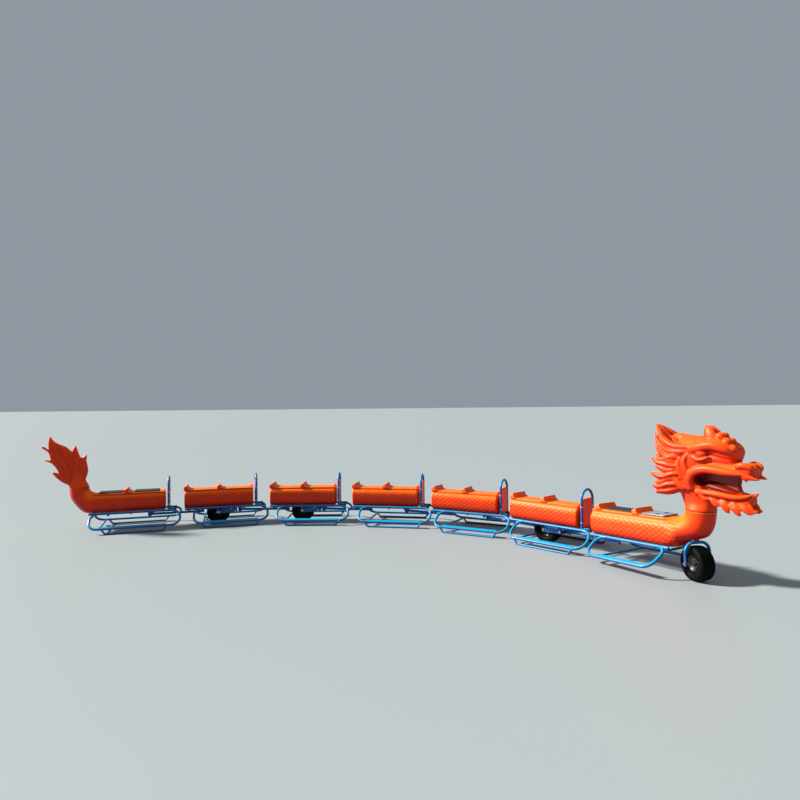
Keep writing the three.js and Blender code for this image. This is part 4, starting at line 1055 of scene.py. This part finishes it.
for car in DRIVEN:
    parts, fittings = [cross_rod(ARM_TIE[0], ARM_INNER, ARM_TIE[1], TIE_R)], []
    axle = (DRIVE_X, TYRE_R)
    for side in (1, -1):
        low, high = sorted((side * ARM_INNER, side * ARM_OUTER))
        parts.append(prism(rounded_outline(ARM_PLATE, ARM_ROUNDS), low, high, ARM_EDGE, order=(0, 2, 1)))
        hanger = side * (HANGER_Y - CLEAR)
        parts.append(rod(beside(ARM_PIVOT, side * ARM_OUTER), beside(ARM_PIVOT, hanger), PIVOT_R))
        fittings.append(rod(beside(axle, side * AXLE_IN), beside(axle, side * AXLE_OUT), AXLE_R))
        heads = [(axle, ARM_OUTER, AXLE_BOLT), (ARM_PIVOT, HANGER_Y + HANGER_THICK, PIVOT_BOLT)]
        heads.append((ARM_TIE, ARM_OUTER, TIE_BOLT))
        for spot, out, across in heads:
            fittings.append(bolt(beside(spot, side * out), (0, side, 0), across))
    car_piece(car, "drive_arm", parts, [], blue_enamel, "blue_paint", [f"{car}_swing_arm"])
    car_piece(car, "drive_bolts", fittings, [], zinc, "wheel_steel")
    y = np.linspace(-MOTOR_HALF, MOTOR_HALF, 90)
    ribs = 0.0016 * (np.abs(y) < RIBBED_HALF) * (np.cos(y * 2 * math.pi / RIB_PITCH) > 0)
    drum = np.stack([y, MOTOR_R - 0.0018 + ribs - 0.010 * (np.abs(y) > MOTOR_CAP)], axis=1)
    motor = lathe(drum, beside(ARM_PIVOT, 0), (0, 1, 0), 48)
    car_piece(car, "drive_motor", [motor], [], black_steel, "blue_paint", [f"{car}_motor"])


# The front fork: one bent tube over the steered wheel, its column turning in the neck's root, with
# flattened ends that carry the axle.
LEG_Y, CROWN_Z, LEG_FOOT, COLUMN_TOP, COLUMN_R = 0.132, 0.363, 0.143, 0.520, 0.020
COLLAR = [(0, 0.026), (0.002, 0.028), (0.007, 0.028), (0.009, 0.024)]
SPACER, SPACER_Y = [(0, 0.012), (0.0015, 0.013), (0.0165, 0.013), (0.018, 0.012)], 0.086
FLAT_LEG, FLAT_LOW, FLAT_HIGH = 0.45, TYRE_R - 0.005, TYRE_R + 0.045
FORK_BEND, COLLAR_UP, COLUMN_BEAD_UP = 0.092, 0.010, 0.0125
LEG_OVER, AXLE_NUT_OUT, AXLE_NUT = 0.012, 0.0085, 0.019


def on_fork(grid, closed=False):
    """The skin of a grid x forward, y along the axle, z up from the ice under the steering axis."""
    return skin(on_axle("front_wheel_spin", grid, joint_at["steering"] * (1, 1, 0)), closed)


corners = [(0, -LEG_Y, LEG_FOOT), (0, -LEG_Y, CROWN_Z), (0, LEG_Y, CROWN_Z), (0, LEG_Y, LEG_FOOT)]
fork_tube = sweep(rounded_path(corners, [FORK_BEND] * 2, 17), (1, 0, 0), HOOP_R, 20)
low = 1 - smooth_step(FLAT_LOW, FLAT_HIGH, fork_tube[..., 2])
legs = np.sign(fork_tube[..., 1]) * LEG_Y
fork_tube[..., 1] = legs + (fork_tube[..., 1] - legs) * (1 - FLAT_LEG * low)
column = rod((0, 0, CROWN_Z), (0, 0, COLUMN_TOP), COLUMN_R, 24)
collar = lathe(COLLAR, (0, 0, CROWN_Z + COLLAR_UP), (0, 0, 1), 32)
fork_skins = [on_fork(grid) for grid in (fork_tube, column, collar)]
column_bead = weld((0, 0, CROWN_Z + COLUMN_BEAD_UP), (0, 0, 1), COLUMN_R)
fork_skins.append(on_fork(column_bead, closed=True))
piece("steering_fork", fork_skins, blue_enamel, "steering", ["fork"])
axle_parts = []
for side in (1, -1):
    axle_parts.append(rod((0, side * AXLE_IN, TYRE_R), (0, side * (LEG_Y + LEG_OVER), TYRE_R), AXLE_R))
    axle_parts.append(lathe(SPACER, (0, side * SPACER_Y, TYRE_R), (0, side, 0)))
    axle_parts.append(bolt((0, side * (LEG_Y + AXLE_NUT_OUT), TYRE_R), (0, side, 0), AXLE_NUT))
piece("front_axle", [on_fork(grid) for grid in axle_parts], zinc, "steering")


# Three thin black seat mats: foam under smooth vinyl, puffed up between a hem all round. Each is a
# rounded slab swollen by a short cloth simulation, capped, with its hem line pressed in after.
# Columns: car, replaced node, rear x, front x, half width, base height, thickness.
MATS = [
    ("tail", "tail_rear_pad", 0.110, 0.437, 0.118, 0.5093, 0.016),
    ("tail", "tail_front_pad", 0.560, 0.911, 0.118, 0.5093, 0.016),
    ("head", "head_pad", 0.166, 0.528, 0.112, 0.5273, 0.018),
]
MAT_INSET, MAT_VOXEL, MAT_CAP, HEM_IN, HEM_WIDE, HEM_DEEP = 0.004, 0.005, 0.0045, 0.013, 0.0035, 0.0022
MAT_ROUND, MAT_EDGE, MAT_CROWN, MAT_GAP = 0.016, 0.004, 0.0020, 0.0004
vinyl, tree, shader = material("black_vinyl", Base_Color=(0.011, 0.011, 0.012, 1), Roughness=0.46)
place = own_place(tree)
leather = [("Vector", place), ("Scale", 420.0)]
leathery = put(tree, "TexVoronoi", leather, feature="DISTANCE_TO_EDGE").outputs["Distance"]
bumped(tree, shader, maths(tree, "MULTIPLY_ADD", noise(tree, place, 28.0, 3.0), 2.0, leathery), 0.35, 0.0010)


def mesh_arrays(mesh):
    """A quad mesh's vertices and faces."""
    vertices = np.empty(len(mesh.vertices) * 3, np.float32)
    mesh.vertices.foreach_get("co", vertices)
    quads = np.empty(len(mesh.loops), np.int32)
    mesh.loops.foreach_get("vertex_index", quads)
    return vertices.reshape(-1, 3).astype(float), quads.reshape(-1, 4)


def melted(name, skins, voxel):
    """An object made of closed skins fused by a voxel remesh, and the mesh that comes out."""
    counts = np.cumsum([0] + [len(vertices) for vertices, _, _ in skins])
    faces = [(faces + n).tolist() for part, n in zip(skins, counts) for faces in part[1:]]
    rough = bpy.data.meshes.new(name)
    rough.from_pydata(np.concatenate([part[0] for part in skins]).tolist(), [], sum(faces, []))
    carrier = add(name, rough)
    melt = carrier.modifiers.new("melt", "REMESH")
    melt.mode, melt.voxel_size = "VOXEL", voxel
    even = bpy.data.meshes.new_from_object(carrier.evaluated_get(bpy.context.evaluated_depsgraph_get()))
    carrier.modifiers.clear()
    return carrier, even


def swollen(grid, voxel, cap):
    """A closed grid as foam: remeshed, blown up by cloth pressure without gravity for 20 frames,
    and held within cap of where each vertex began."""
    carrier, even = melted("foam", [skin(grid)], voxel)
    carrier.data = even
    start, quads = mesh_arrays(even)
    end = start
    cloth = carrier.modifiers.new("cloth", "CLOTH")
    cloth.settings.use_pressure = True
    cloth.settings.uniform_pressure_force = 4
    cloth.settings.effector_weights.gravity = 0
    for step in range(1, 21):
        bpy.context.scene.frame_set(step)
    end, _ = mesh_arrays(carrier.evaluated_get(bpy.context.evaluated_depsgraph_get()).to_mesh())
    bpy.context.scene.frame_set(1)
    bpy.data.objects.remove(carrier)
    move = end - start
    length = np.maximum(np.linalg.norm(move, axis=1, keepdims=True), 1e-9)
    return start + move * np.minimum(1, cap / length), quads


for car, node, rear, front, half, base, thick in MATS:
    low, high = (rear + MAT_INSET, MAT_INSET - half), (front - MAT_INSET, half - MAT_INSET)
    slab = prism(rounded_box(low, high, MAT_ROUND, 7), base + 0.002, base + thick - 0.004, MAT_EDGE)
    points, quads = swollen(slab, MAT_VOXEL, MAT_CAP)
    x, y, z = points.T
    from_edge = np.minimum.reduce([x - rear, front - x, half - np.abs(y)])
    upper = smooth_step(base + thick * 0.4, base + thick * 0.7, z)
    crown = MAT_CROWN * smooth_step(HEM_IN, 0.07, from_edge)
    points[:, 2] += upper * (crown - HEM_DEEP * np.exp(-(((from_edge - HEM_IN) / HEM_WIDE) ** 2)))
    points[:, 0] = np.clip(points[:, 0], rear + MAT_GAP, front - MAT_GAP)
    points[:, 1] = np.clip(points[:, 1], MAT_GAP - half, half - MAT_GAP)
    points[:, 2] = np.clip(points[:, 2], base, base + thick)
    points = on_car(car, nose_up(points) if car == "head" else points)
    mat = piece(node.replace("pad", "seat_mat"), [(points, quads, NO_FANS)], vinyl, f"{car}_car",
                [node], crease=180)
    soft = mat.modifiers.new("soft", "SUBSURF")
    soft.levels = soft.render_levels = 1


# The pale hatch cover on the front car's deck: a moulded sheet on a dark gasket, with two black
# # round discs side by side, painted shade for its two finger holes.
COVER_REAR, COVER_FRONT, COVER_HALF, COVER_LOW, COVER_THICK = 0.654, 0.928, 0.112, 0.5273, 0.020
COVER_HOLE_X, COVER_HOLE_Y, COVER_HOLE_R = 0.820, 0.066, 0.026
COVER_ROUND, COVER_EDGE, GASKET_SHARE, GASKET_THICK = 0.020, 0.004, 0.985, 0.0065
pale_sheet, tree, shader = material("pale_sheet", Roughness=0.42, Coat_Weight=0.15, Coat_Roughness=0.2)
stains = noise(tree, own_place(tree), 11.0, 6.0, 0.62)
tint = ramp(tree, stains, [(0.36, (0.14, 0.19, 0.23, 1)), (0.62, (0.24, 0.31, 0.36, 1))])
tree.links.new(tint, shader.inputs["Base Color"])
outline = rounded_box((COVER_REAR, -COVER_HALF), (COVER_FRONT, COVER_HALF), COVER_ROUND, 9)
sheet = prism(outline, COVER_LOW + 0.006, COVER_LOW + COVER_THICK - 0.002, COVER_EDGE)
sheet_skin = skin(on_car("head", nose_up(sheet)))
piece("hatch_cover", [sheet_skin], pale_sheet, "head_car", ["head_cover"])
middle = outline.mean(0)
gasket = middle + (outline - middle) * GASKET_SHARE
dark_parts = [prism(gasket, COVER_LOW, COVER_LOW + GASKET_THICK, 0.001)]
# Black discs, painted shade for the two finger holes.
turn = full_turn(40)
for side in (1, -1):
    across = side * COVER_HOLE_Y + COVER_HOLE_R * np.sin(turn)
    hole = np.stack([COVER_HOLE_X + COVER_HOLE_R * np.cos(turn), across], axis=1)
    dark_parts.append(prism(hole, COVER_LOW + 0.010, COVER_LOW + COVER_THICK - 0.0002, 0.0012))
dark_skins = [skin(on_car("head", nose_up(grid))) for grid in dark_parts]
piece("hatch_rubber", dark_skins, rubber, "head_car")


# The dragon's head: one hollow orange moulding, fixed on the neck's seam. Its forms are drawn as
# skull, snout and jaw with locks laid over them, then fused into one skin and smoothed.
# Its tables are in millimetres.
LOCK_SWAY = 0.009


def metres(table):
    """A table of millimetres in metres."""
    return np.array(table, float) / 1000


def lock(spine, wide, deep, blunt=2.4, ribs=0, count=34, sides=32, rib_depth=0.30):
    """A lock of the mane: an oval bar along a smooth spine that keeps its width, then closes on its
    tip as (1 - s^blunt)^0.75. Ribs are waves round the oval that run the lock's length, and a
    ribbed lock also sways, by sin(pi s) sin(2 pi (1.2 s + 6 z)), z being its root's height."""
    path = eased(spine, count)
    s = np.linspace(0, 1, count)
    if ribs:
        path[:, 2] += LOCK_SWAY * np.sin(math.pi * s) * np.sin(2 * math.pi * (1.2 * s + 6 * spine[0][2]))
    swell = np.maximum(1 - s**blunt, 0) ** 0.75 + 0.015
    points = sweep(path, (0, 1, 0), np.stack([wide * swell, deep * swell], axis=1), sides)
    turn = full_turn(sides)
    wave = 1 - rib_depth * (0.5 - 0.5 * np.cos(ribs * turn)) if ribs else np.ones(sides)
    return path[:, None] + (points - path[:, None]) * wave[None, :, None]


def ball(centre, radii, count=18):
    """An ellipsoid: rows of latitude, columns of longitude, with small open poles that get fans."""
    lift = np.linspace(-0.985, 0.985, count) * math.pi / 2
    turn = full_turn(2 * count)
    unit = np.stack([
        np.cos(lift)[:, None] * np.cos(turn), np.cos(lift)[:, None] * np.sin(turn),
        np.repeat(np.sin(lift)[:, None], len(turn), axis=1),
    ], axis=-1)
    return unit * radii + centre


def mirrored(points):
    """The same form on the other side of the car's middle plane."""
    return points * (1, -1, 1)


def fused(parts, voxel, rounds):
    """Closed skins melted into one: a voxel remesh of all of them together, then rounds of moving
    each vertex halfway to the mean of its neighbours. Also gives how far each vertex lies below a
    much smoother copy of the skin."""
    carrier, even = melted("rough", parts, voxel)
    vertices, quads = mesh_arrays(even)
    edges = np.empty(len(even.edges) * 2, np.int32)
    even.edges.foreach_get("vertices", edges)
    a, b = edges.reshape(-1, 2).T
    bpy.data.objects.remove(carrier)
    bpy.data.meshes.remove(even)
    ends, others = np.concatenate([a, b]), np.concatenate([b, a])
    share = np.maximum(np.bincount(ends, minlength=len(vertices)), 1)[:, None]

    def relaxed(points, times):
        for _ in range(times):
            sums = [np.bincount(ends, points[others, k], len(points)) for k in range(3)]
            points = (points + np.stack(sums, axis=1) / share) / 2
        return points

    vertices = relaxed(vertices, rounds)
    calm = relaxed(vertices, 26)
    depth = np.einsum("ij,ij->i", calm - vertices, vertex_normals(vertices, quads, NO_FANS))
    return vertices, quads, depth


SEAM_LIFT, SEAM_GAP, SEAM_CLEAR, SEAM_GAP_SHADE = 0.0003, 0.004, 0.012, 0.9


def seam_fold(fold, height):
    """A fold layer turned dark just over a seam: painted shade for its gap. height is the height over the
    seam.
    """
    above = smooth_step(SEAM_GAP, SEAM_CLEAR, height)
    return fold * above + SEAM_GAP_SHADE * (1 - above)


# Columns: height, rear x, front x, half width of a level ring.
SKULL = [
    (671.3, 1097.5, 1369.5, 136), (686, 1096, 1372, 136.5), (714, 1088, 1374, 127),
    (750, 1072, 1378, 118), (800, 1050, 1384, 120), (860, 1022, 1388, 134), (915, 1000, 1360, 152),
    (955, 990, 1285, 161), (1005, 986, 1268, 163), (1050, 985, 1350, 166), (1110, 985, 1440, 170),
    (1200, 988, 1475, 172), (1290, 1005, 1500, 154), (1345, 1045, 1480, 116), (1375, 1120, 1410, 60),
]
# Columns: x, middle height, half width, half height of an upright ring.
BROW = [
    (1290, 1250, 138, 96), (1400, 1270, 144, 112), (1490, 1256, 138, 108), (1555, 1234, 122, 92),
    (1596, 1218, 100, 70), (1620, 1208, 66, 44), (1632, 1204, 30, 20),
]
BRIDGE = [
    (1240, 1185, 148, 80), (1400, 1180, 140, 76), (1510, 1174, 118, 68), (1585, 1166, 92, 52),
    (1612, 1160, 50, 30),
]
SNOUT = [
    (1240, 1115, 130, 80), (1390, 1112, 146, 80), (1540, 1104, 128, 58), (1640, 1096, 112, 56),
    (1706, 1092, 108, 66), (1758, 1086, 96, 62), (1782, 1082, 60, 42),
]
JAW = [
    (1160, 880, 106, 45), (1320, 852, 126, 56), (1480, 826, 118, 62), (1610, 804, 100, 70),
    (1706, 806, 74, 66), (1748, 830, 42, 46),
]
TONGUE = [
    (1270, 900, 60, 30), (1350, 920, 80, 38), (1440, 910, 86, 40), (1540, 892, 80, 36),
    (1610, 882, 62, 28), (1652, 876, 30, 14),
]
# The web that closes the mouth on the middle plane: corners x, z of its side outline.
WEB = [(1200, 850), (1200, 1110), (1620, 1100), (1636, 1020), (1622, 950), (1640, 870), (1500, 840)]
WEB_HALF, WEB_ROUND = 0.026, 0.02


def level_rings(table, count):
    """Rings lying level: an ellipse between its rear and front x, at its height."""
    z, rear, front, half = eased(metres(table), count).T[..., None]
    turn = full_turn(44)
    x = (rear + front) / 2 + (front - rear) / 2 * np.cos(turn)
    return np.stack([x, half * np.sin(turn), np.broadcast_to(z, x.shape)], axis=-1)


def upright_rings(table, count):
    """Rings standing across the car: an ellipse at its x, about its middle height."""
    x, z, half, high = eased(metres(table), count).T[..., None]
    turn = full_turn(36)
    y = half * np.cos(turn)
    return np.stack([np.broadcast_to(x, y.shape), y, z + high * np.sin(turn)], axis=-1)


# Locks on the left, mirrored to the right. Columns: spine points, half width, half depth,
# bluntness of the tip, ribs.
LOCKS = [
    # horn and its lower ridge
    ([(1300, 100, 1275), (1160, 140, 1262), (1040, 152, 1268), (930, 130, 1325), (850, 72, 1410),
      (762, 12, 1484)], 54, 46, 3.2, 3),
    ([(1260, 120, 1228), (1120, 162, 1222), (1000, 180, 1238), (910, 176, 1310), (858, 160, 1410)],
     40, 36, 2.6, 3),
    # mane, from under the horn down to the neck
    ([(1160, 130, 1205), (1050, 182, 1188), (960, 200, 1212), (885, 202, 1306)], 46, 36, 2.6, 4),
    ([(1160, 136, 1160), (1060, 190, 1158), (960, 206, 1150), (905, 208, 1200)], 40, 34, 2.4, 3),
    ([(1160, 138, 1115), (1050, 192, 1102), (950, 207, 1118), (846, 210, 1164)], 56, 40, 2.8, 5),
    ([(1160, 140, 1068), (1050, 194, 1046), (960, 208, 1050), (888, 212, 1084)], 36, 34, 2.4, 3),
    ([(1160, 142, 1020), (1060, 190, 1010), (950, 210, 985), (832, 212, 1004)], 50, 38, 2.8, 4),
    ([(1160, 140, 975), (1050, 188, 952), (960, 206, 925), (880, 210, 932)], 38, 34, 2.4, 3),
    ([(1160, 136, 940), (1060, 182, 915), (960, 204, 882), (842, 206, 884)], 48, 36, 2.8, 4),
    ([(1150, 126, 895), (1040, 172, 862), (950, 196, 832), (882, 198, 818)], 44, 34, 2.6, 4),
    # leaves on the cheek
    ([(1232, 146, 985), (1192, 170, 1070), (1186, 178, 1150), (1222, 172, 1222)], 32, 24, 2.4, 0),
    ([(1196, 146, 955), (1140, 180, 1030), (1128, 190, 1110), (1160, 186, 1196)], 34, 24, 2.2, 2),
    ([(1190, 140, 905), (1110, 180, 950), (1070, 194, 1020), (1082, 194, 1090)], 32, 24, 2.2, 2),
    ([(1200, 146, 900), (1150, 176, 905), (1095, 192, 950), (1030, 204, 975)], 28, 24, 2.2, 2),
    # knob over the brow, blunt
    ([(1392, 42, 1290), (1374, 42, 1365), (1346, 34, 1428), (1314, 22, 1485)], 68, 42, 2.6, 0),
    # brow ridge, and the lid under the eye
    ([(1235, 140, 1246), (1340, 160, 1282), (1450, 152, 1300), (1545, 126, 1268), (1620, 74, 1214)],
     42, 36, 5.0, 0),
    ([(1262, 158, 1190), (1325, 172, 1166), (1392, 164, 1180), (1440, 144, 1215)], 15, 15, 4.0, 0),
    # upper lip, rolled, from the corner of the mouth to the nose
    ([(1218, 128, 880), (1214, 146, 960), (1262, 154, 1040), (1380, 154, 1082), (1560, 134, 1068),
      (1720, 104, 1056)], 40, 36, 6.0, 0),
    # wing of the nostril, its whisker tip and the fang
    ([(1650, 92, 1120), (1700, 98, 1136), (1755, 80, 1118), (1776, 60, 1085)], 30, 28, 5.0, 0),
    ([(1700, 86, 1060), (1752, 82, 1034), (1832, 58, 1020)], 28, 22, 1.8, 0),
    ([(1690, 90, 1060), (1712, 90, 1030), (1738, 82, 990)], 24, 20, 2.0, 0),
    # lower lip, rolled, up to the chin's tip
    ([(1270, 112, 860), (1380, 134, 868), (1500, 130, 862), (1620, 106, 850), (1706, 70, 858),
      (1774, 22, 902)], 26, 26, 4.0, 0),
    # beard, from the corner of the mouth forward to the chin
    ([(1310, 118, 850), (1360, 130, 824), (1404, 124, 794)], 32, 26, 2.4, 3),
    ([(1410, 112, 835), (1455, 124, 790), (1498, 118, 748)], 38, 28, 2.2, 3),
    ([(1500, 108, 810), (1546, 116, 758), (1588, 106, 704)], 42, 28, 2.2, 3),
    ([(1590, 96, 790), (1636, 102, 736), (1684, 90, 696)], 42, 28, 2.2, 3),
    ([(1650, 74, 790), (1706, 74, 744), (1766, 54, 718)], 38, 28, 2.2, 3),
    ([(1680, 50, 800), (1735, 50, 752), (1802, 30, 742)], 40, 28, 2.0, 3),
]
# On the middle plane: the crest, the web that joins the horns, and the curl behind the crest.
# Columns: spine points, half width, half depth, bluntness.
MIDDLE_LOCKS = [
    ([(1380, 0, 1300), (1220, 0, 1306), (1080, 0, 1312), (990, 0, 1330), (940, 0, 1372)], 66, 56, 3.0),
    ([(1100, 0, 1275), (980, 0, 1285), (900, 0, 1345), (830, 0, 1420), (768, 0, 1484)], 36, 60, 3.0),
    ([(1240, 0, 1306), (1120, 0, 1316), (1040, 0, 1338), (985, 0, 1352), (935, 0, 1346)], 72, 62, 2.2),
]
# Balls of the brow, a pair each, and small warts over it. Columns: x, y, z, radius.
NODULES = [
    (1462, 30, 1378, 42), (1524, 34, 1330, 44), (1578, 34, 1268, 46), (1271, 148, 1308, 16),
    (1346, 156, 1321, 16), (1416, 154, 1325, 16), (1486, 146, 1312, 15),
]
EYE_AT, EYE_SIZE = (1.346, 0.142, 1.222), (0.054, 0.044, 0.042)
NOSTRIL_AT, NOSTRIL_R, NOSTRIL_PUSH = (1.765, 0.045, 1.118), 0.020, (-0.022, 0, -0.006)
HEAD_VOXEL, HEAD_FOLD = 0.0066, 0.007
# The painted shade of the mouth fades in from the first number to the second of each pair, towards
# its rear, its front, its bottom, its top and its sides.
MOUTH = [(1.20, 1.25), (1.68, 1.62), (0.868, 0.890), (1.10, 1.075), (0.125, 0.100)]
MOUTH_SHADE = 1.1

forms = [level_rings(SKULL, 90), upright_rings(BROW, 40), upright_rings(SNOUT, 50), upright_rings(JAW, 40)]
forms += [upright_rings(BRIDGE, 30), upright_rings(TONGUE, 30)]
forms += [lock(metres(spine), wide / 1000, deep / 1000, blunt) for spine, wide, deep, blunt in MIDDLE_LOCKS]
web_outline = rounded_outline(metres(WEB), [WEB_ROUND] * len(WEB))
forms.append(prism(web_outline, -WEB_HALF, WEB_HALF, 0.006, order=(0, 2, 1)))
for spine, wide, deep, blunt, ribs in LOCKS:
    left_lock = lock(metres(spine), wide / 1000, deep / 1000, blunt, ribs)
    forms += [left_lock, mirrored(left_lock)]
for x, y, z, size in metres(NODULES):
    forms += [ball((x, y, z), size), ball((x, -y, z), size)]
for side in (1, -1):
    forms.append(ball((EYE_AT[0], side * EYE_AT[1], EYE_AT[2]), EYE_SIZE))
vertices, quads, depth = fused([skin(grid) for grid in forms], HEAD_VOXEL, 2)


def pressed(points, centre, radius, push):
    """Pushes the skin in round a point: each vertex moves by push times exp(-(distance/radius)²)."""
    near = np.exp(-(np.linalg.norm(points - centre, axis=1) / radius) ** 2)
    return points + near[:, None] * push


for side in (1, -1):
    vertices = pressed(vertices, np.array(NOSTRIL_AT) * (1, side, 1), NOSTRIL_R, np.array(NOSTRIL_PUSH))
vertices[:, 2] = np.maximum(vertices[:, 2], SEAM_Z + SEAM_LIFT)
x, y, z = vertices.T
# Painted shade inside the mouth.
mouth = MOUTH_SHADE
for (shut, open_from), place in zip(MOUTH, (x, x, z, z, np.abs(y))):
    mouth = mouth * smooth_step(shut, open_from, place)
# Painted shade in hollows, the mouth and the seam's gap, and a painted highlight on ridges, all carried by
# the fold layer.
fold = seam_fold(np.maximum(np.clip(depth / HEAD_FOLD, -1, 1), mouth), z - SEAM_Z)
head_skins = [(on_car("head", vertices), quads, NO_FANS)]
piece("dragon_head_moulding", head_skins, plain_plastic, "head_car", ["dragon_head"],
      {"fold": fold}, crease=180)


# The tail fin: a flat orange flame moulding on the tail hull's seam, whose pointed leaves fan out
# from a round root. Its blade is thick along its middle and thins to round edges.
# Tables in millimetres. Columns: height, rear x, front x, half width of a level ring.
FIN_ROOT = [
    (597.3, -254, -4, 124.5), (615, -252, -10, 121), (650, -244, -26, 103), (700, -230, -50, 78),
    (770, -222, -62, 53), (850, -226, -90, 38), (930, -240, -130, 29), (1000, -255, -170, 20),
]
# Corners x, z of the flame's outline, from the seam's rear round its leaves to the seam's front.
FLAME = [
    (-254, 590), (-256, 618), (-275, 640), (-336, 674), (-397, 725), (-443, 778), (-466, 808),
    (-453, 821), (-417, 816), (-387, 806), (-399, 840), (-433, 896), (-473, 940), (-518, 962),
    (-552, 976), (-545, 992), (-515, 990), (-490, 995), (-490, 1023), (-503, 1070), (-520, 1100),
    (-553, 1124), (-578, 1142), (-598, 1171), (-578, 1176), (-542, 1158), (-513, 1136), (-511, 1182),
    (-510, 1238), (-499, 1285), (-486, 1312), (-472, 1292), (-450, 1254), (-408, 1218), (-347, 1188),
    (-296, 1164), (-256, 1131), (-223, 1100), (-210, 1133), (-194, 1161), (-177, 1179), (-163, 1149),
    (-148, 1102), (-127, 1044), (-107, 1005), (-81, 1022), (-55, 1044), (-38, 1041), (-37, 1007),
    (-41, 961), (-29, 903), (-19, 838), (-27, 776), (-44, 731), (-48, 700), (-34, 660), (-14, 625),
    (-6, 590),
]
# Ribs, as x and z of their ends: from the root into each leaf.
RIBS = [
    ((-215, 620), (-250, 760), (-330, 960), (-420, 1130), (-470, 1270)),
    ((-235, 640), (-300, 705), (-360, 760), (-430, 800)),
    ((-240, 700), (-330, 840), (-430, 950), (-520, 978)),
    ((-270, 820), (-380, 980), (-480, 1090), (-570, 1160)),
    ((-150, 700), (-200, 850), (-270, 1010), (-330, 1160)),
    ((-110, 700), (-130, 850), (-160, 1000), (-177, 1140)),
    ((-85, 700), (-80, 820), (-80, 920), (-55, 1020)),
]
BLADE_HALF, EDGE_HALF, EDGE_REACH = 0.026, 0.002, 0.050
RIB_RISE, RIB_WIDE, RIB_START, FLAT_HALF = 0.0045, 0.014, 0.02, 0.008
FIN_VOXEL, FIN_FOLD, FIN_RIDGE = 0.0058, 0.010, -0.35


def from_line(points, line):
    """Each point's distance in x and z to a line of straight pieces."""
    start, run = line[:-1], np.diff(line, axis=0)
    offset = points[:, None] - start
    share = np.clip(np.einsum("ijk,jk->ij", offset, run) / np.einsum("jk,jk->j", run, run), 0, 1)
    return np.linalg.norm(offset - share[..., None] * run, axis=2).min(axis=1)


outline = eased(metres(FLAME), 4 * len(FLAME))
triangles = np.array(tessellate_polygon([[Vector((x, z, 0)) for x, z in outline]]))
count = len(outline)
near_side = np.stack([outline[:, 0], np.full(count, -FLAT_HALF), outline[:, 1]], axis=1)
plate = np.concatenate([near_side, mirrored(near_side)])
both_faces = np.concatenate([triangles, triangles[:, ::-1] + count])
vertices, quads, _ = fused([(plate, grid_faces(2, count, 0, True), both_faces)], FIN_VOXEL, 2)
flat = vertices[:, [0, 2]]
depth_in = from_line(flat, outline)
half = BLADE_HALF * np.sqrt(1 - (1 - np.clip(depth_in / EDGE_REACH, 0, 1)) ** 2) + EDGE_HALF
for rib in RIBS:
    ridge = np.exp(-((from_line(flat, eased(metres(rib), 24)) / RIB_WIDE) ** 2))
    half += RIB_RISE * ridge * np.clip(depth_in / RIB_START, 0, 1)
vertices[:, 1] *= half / FLAT_HALF
root = skin(level_rings(FIN_ROOT, 60))
vertices, quads, depth = fused([root, (vertices, quads, NO_FANS)], FIN_VOXEL, 3)
vertices[:, 2] = np.maximum(vertices[:, 2], TAIL_SEAM_Z + SEAM_LIFT)
# Painted shade in hollows and the seam's gap, and a fainter painted highlight on ridges.
fold = seam_fold(np.clip(depth / FIN_FOLD, FIN_RIDGE, 1), vertices[:, 2] - TAIL_SEAM_Z)
fin_skins = [(on_car("tail", vertices), quads, NO_FANS)]
piece("flame_fin", fin_skins, plain_plastic, "tail_car", ["tail_fin"],
      {"fold": fold}, crease=180)
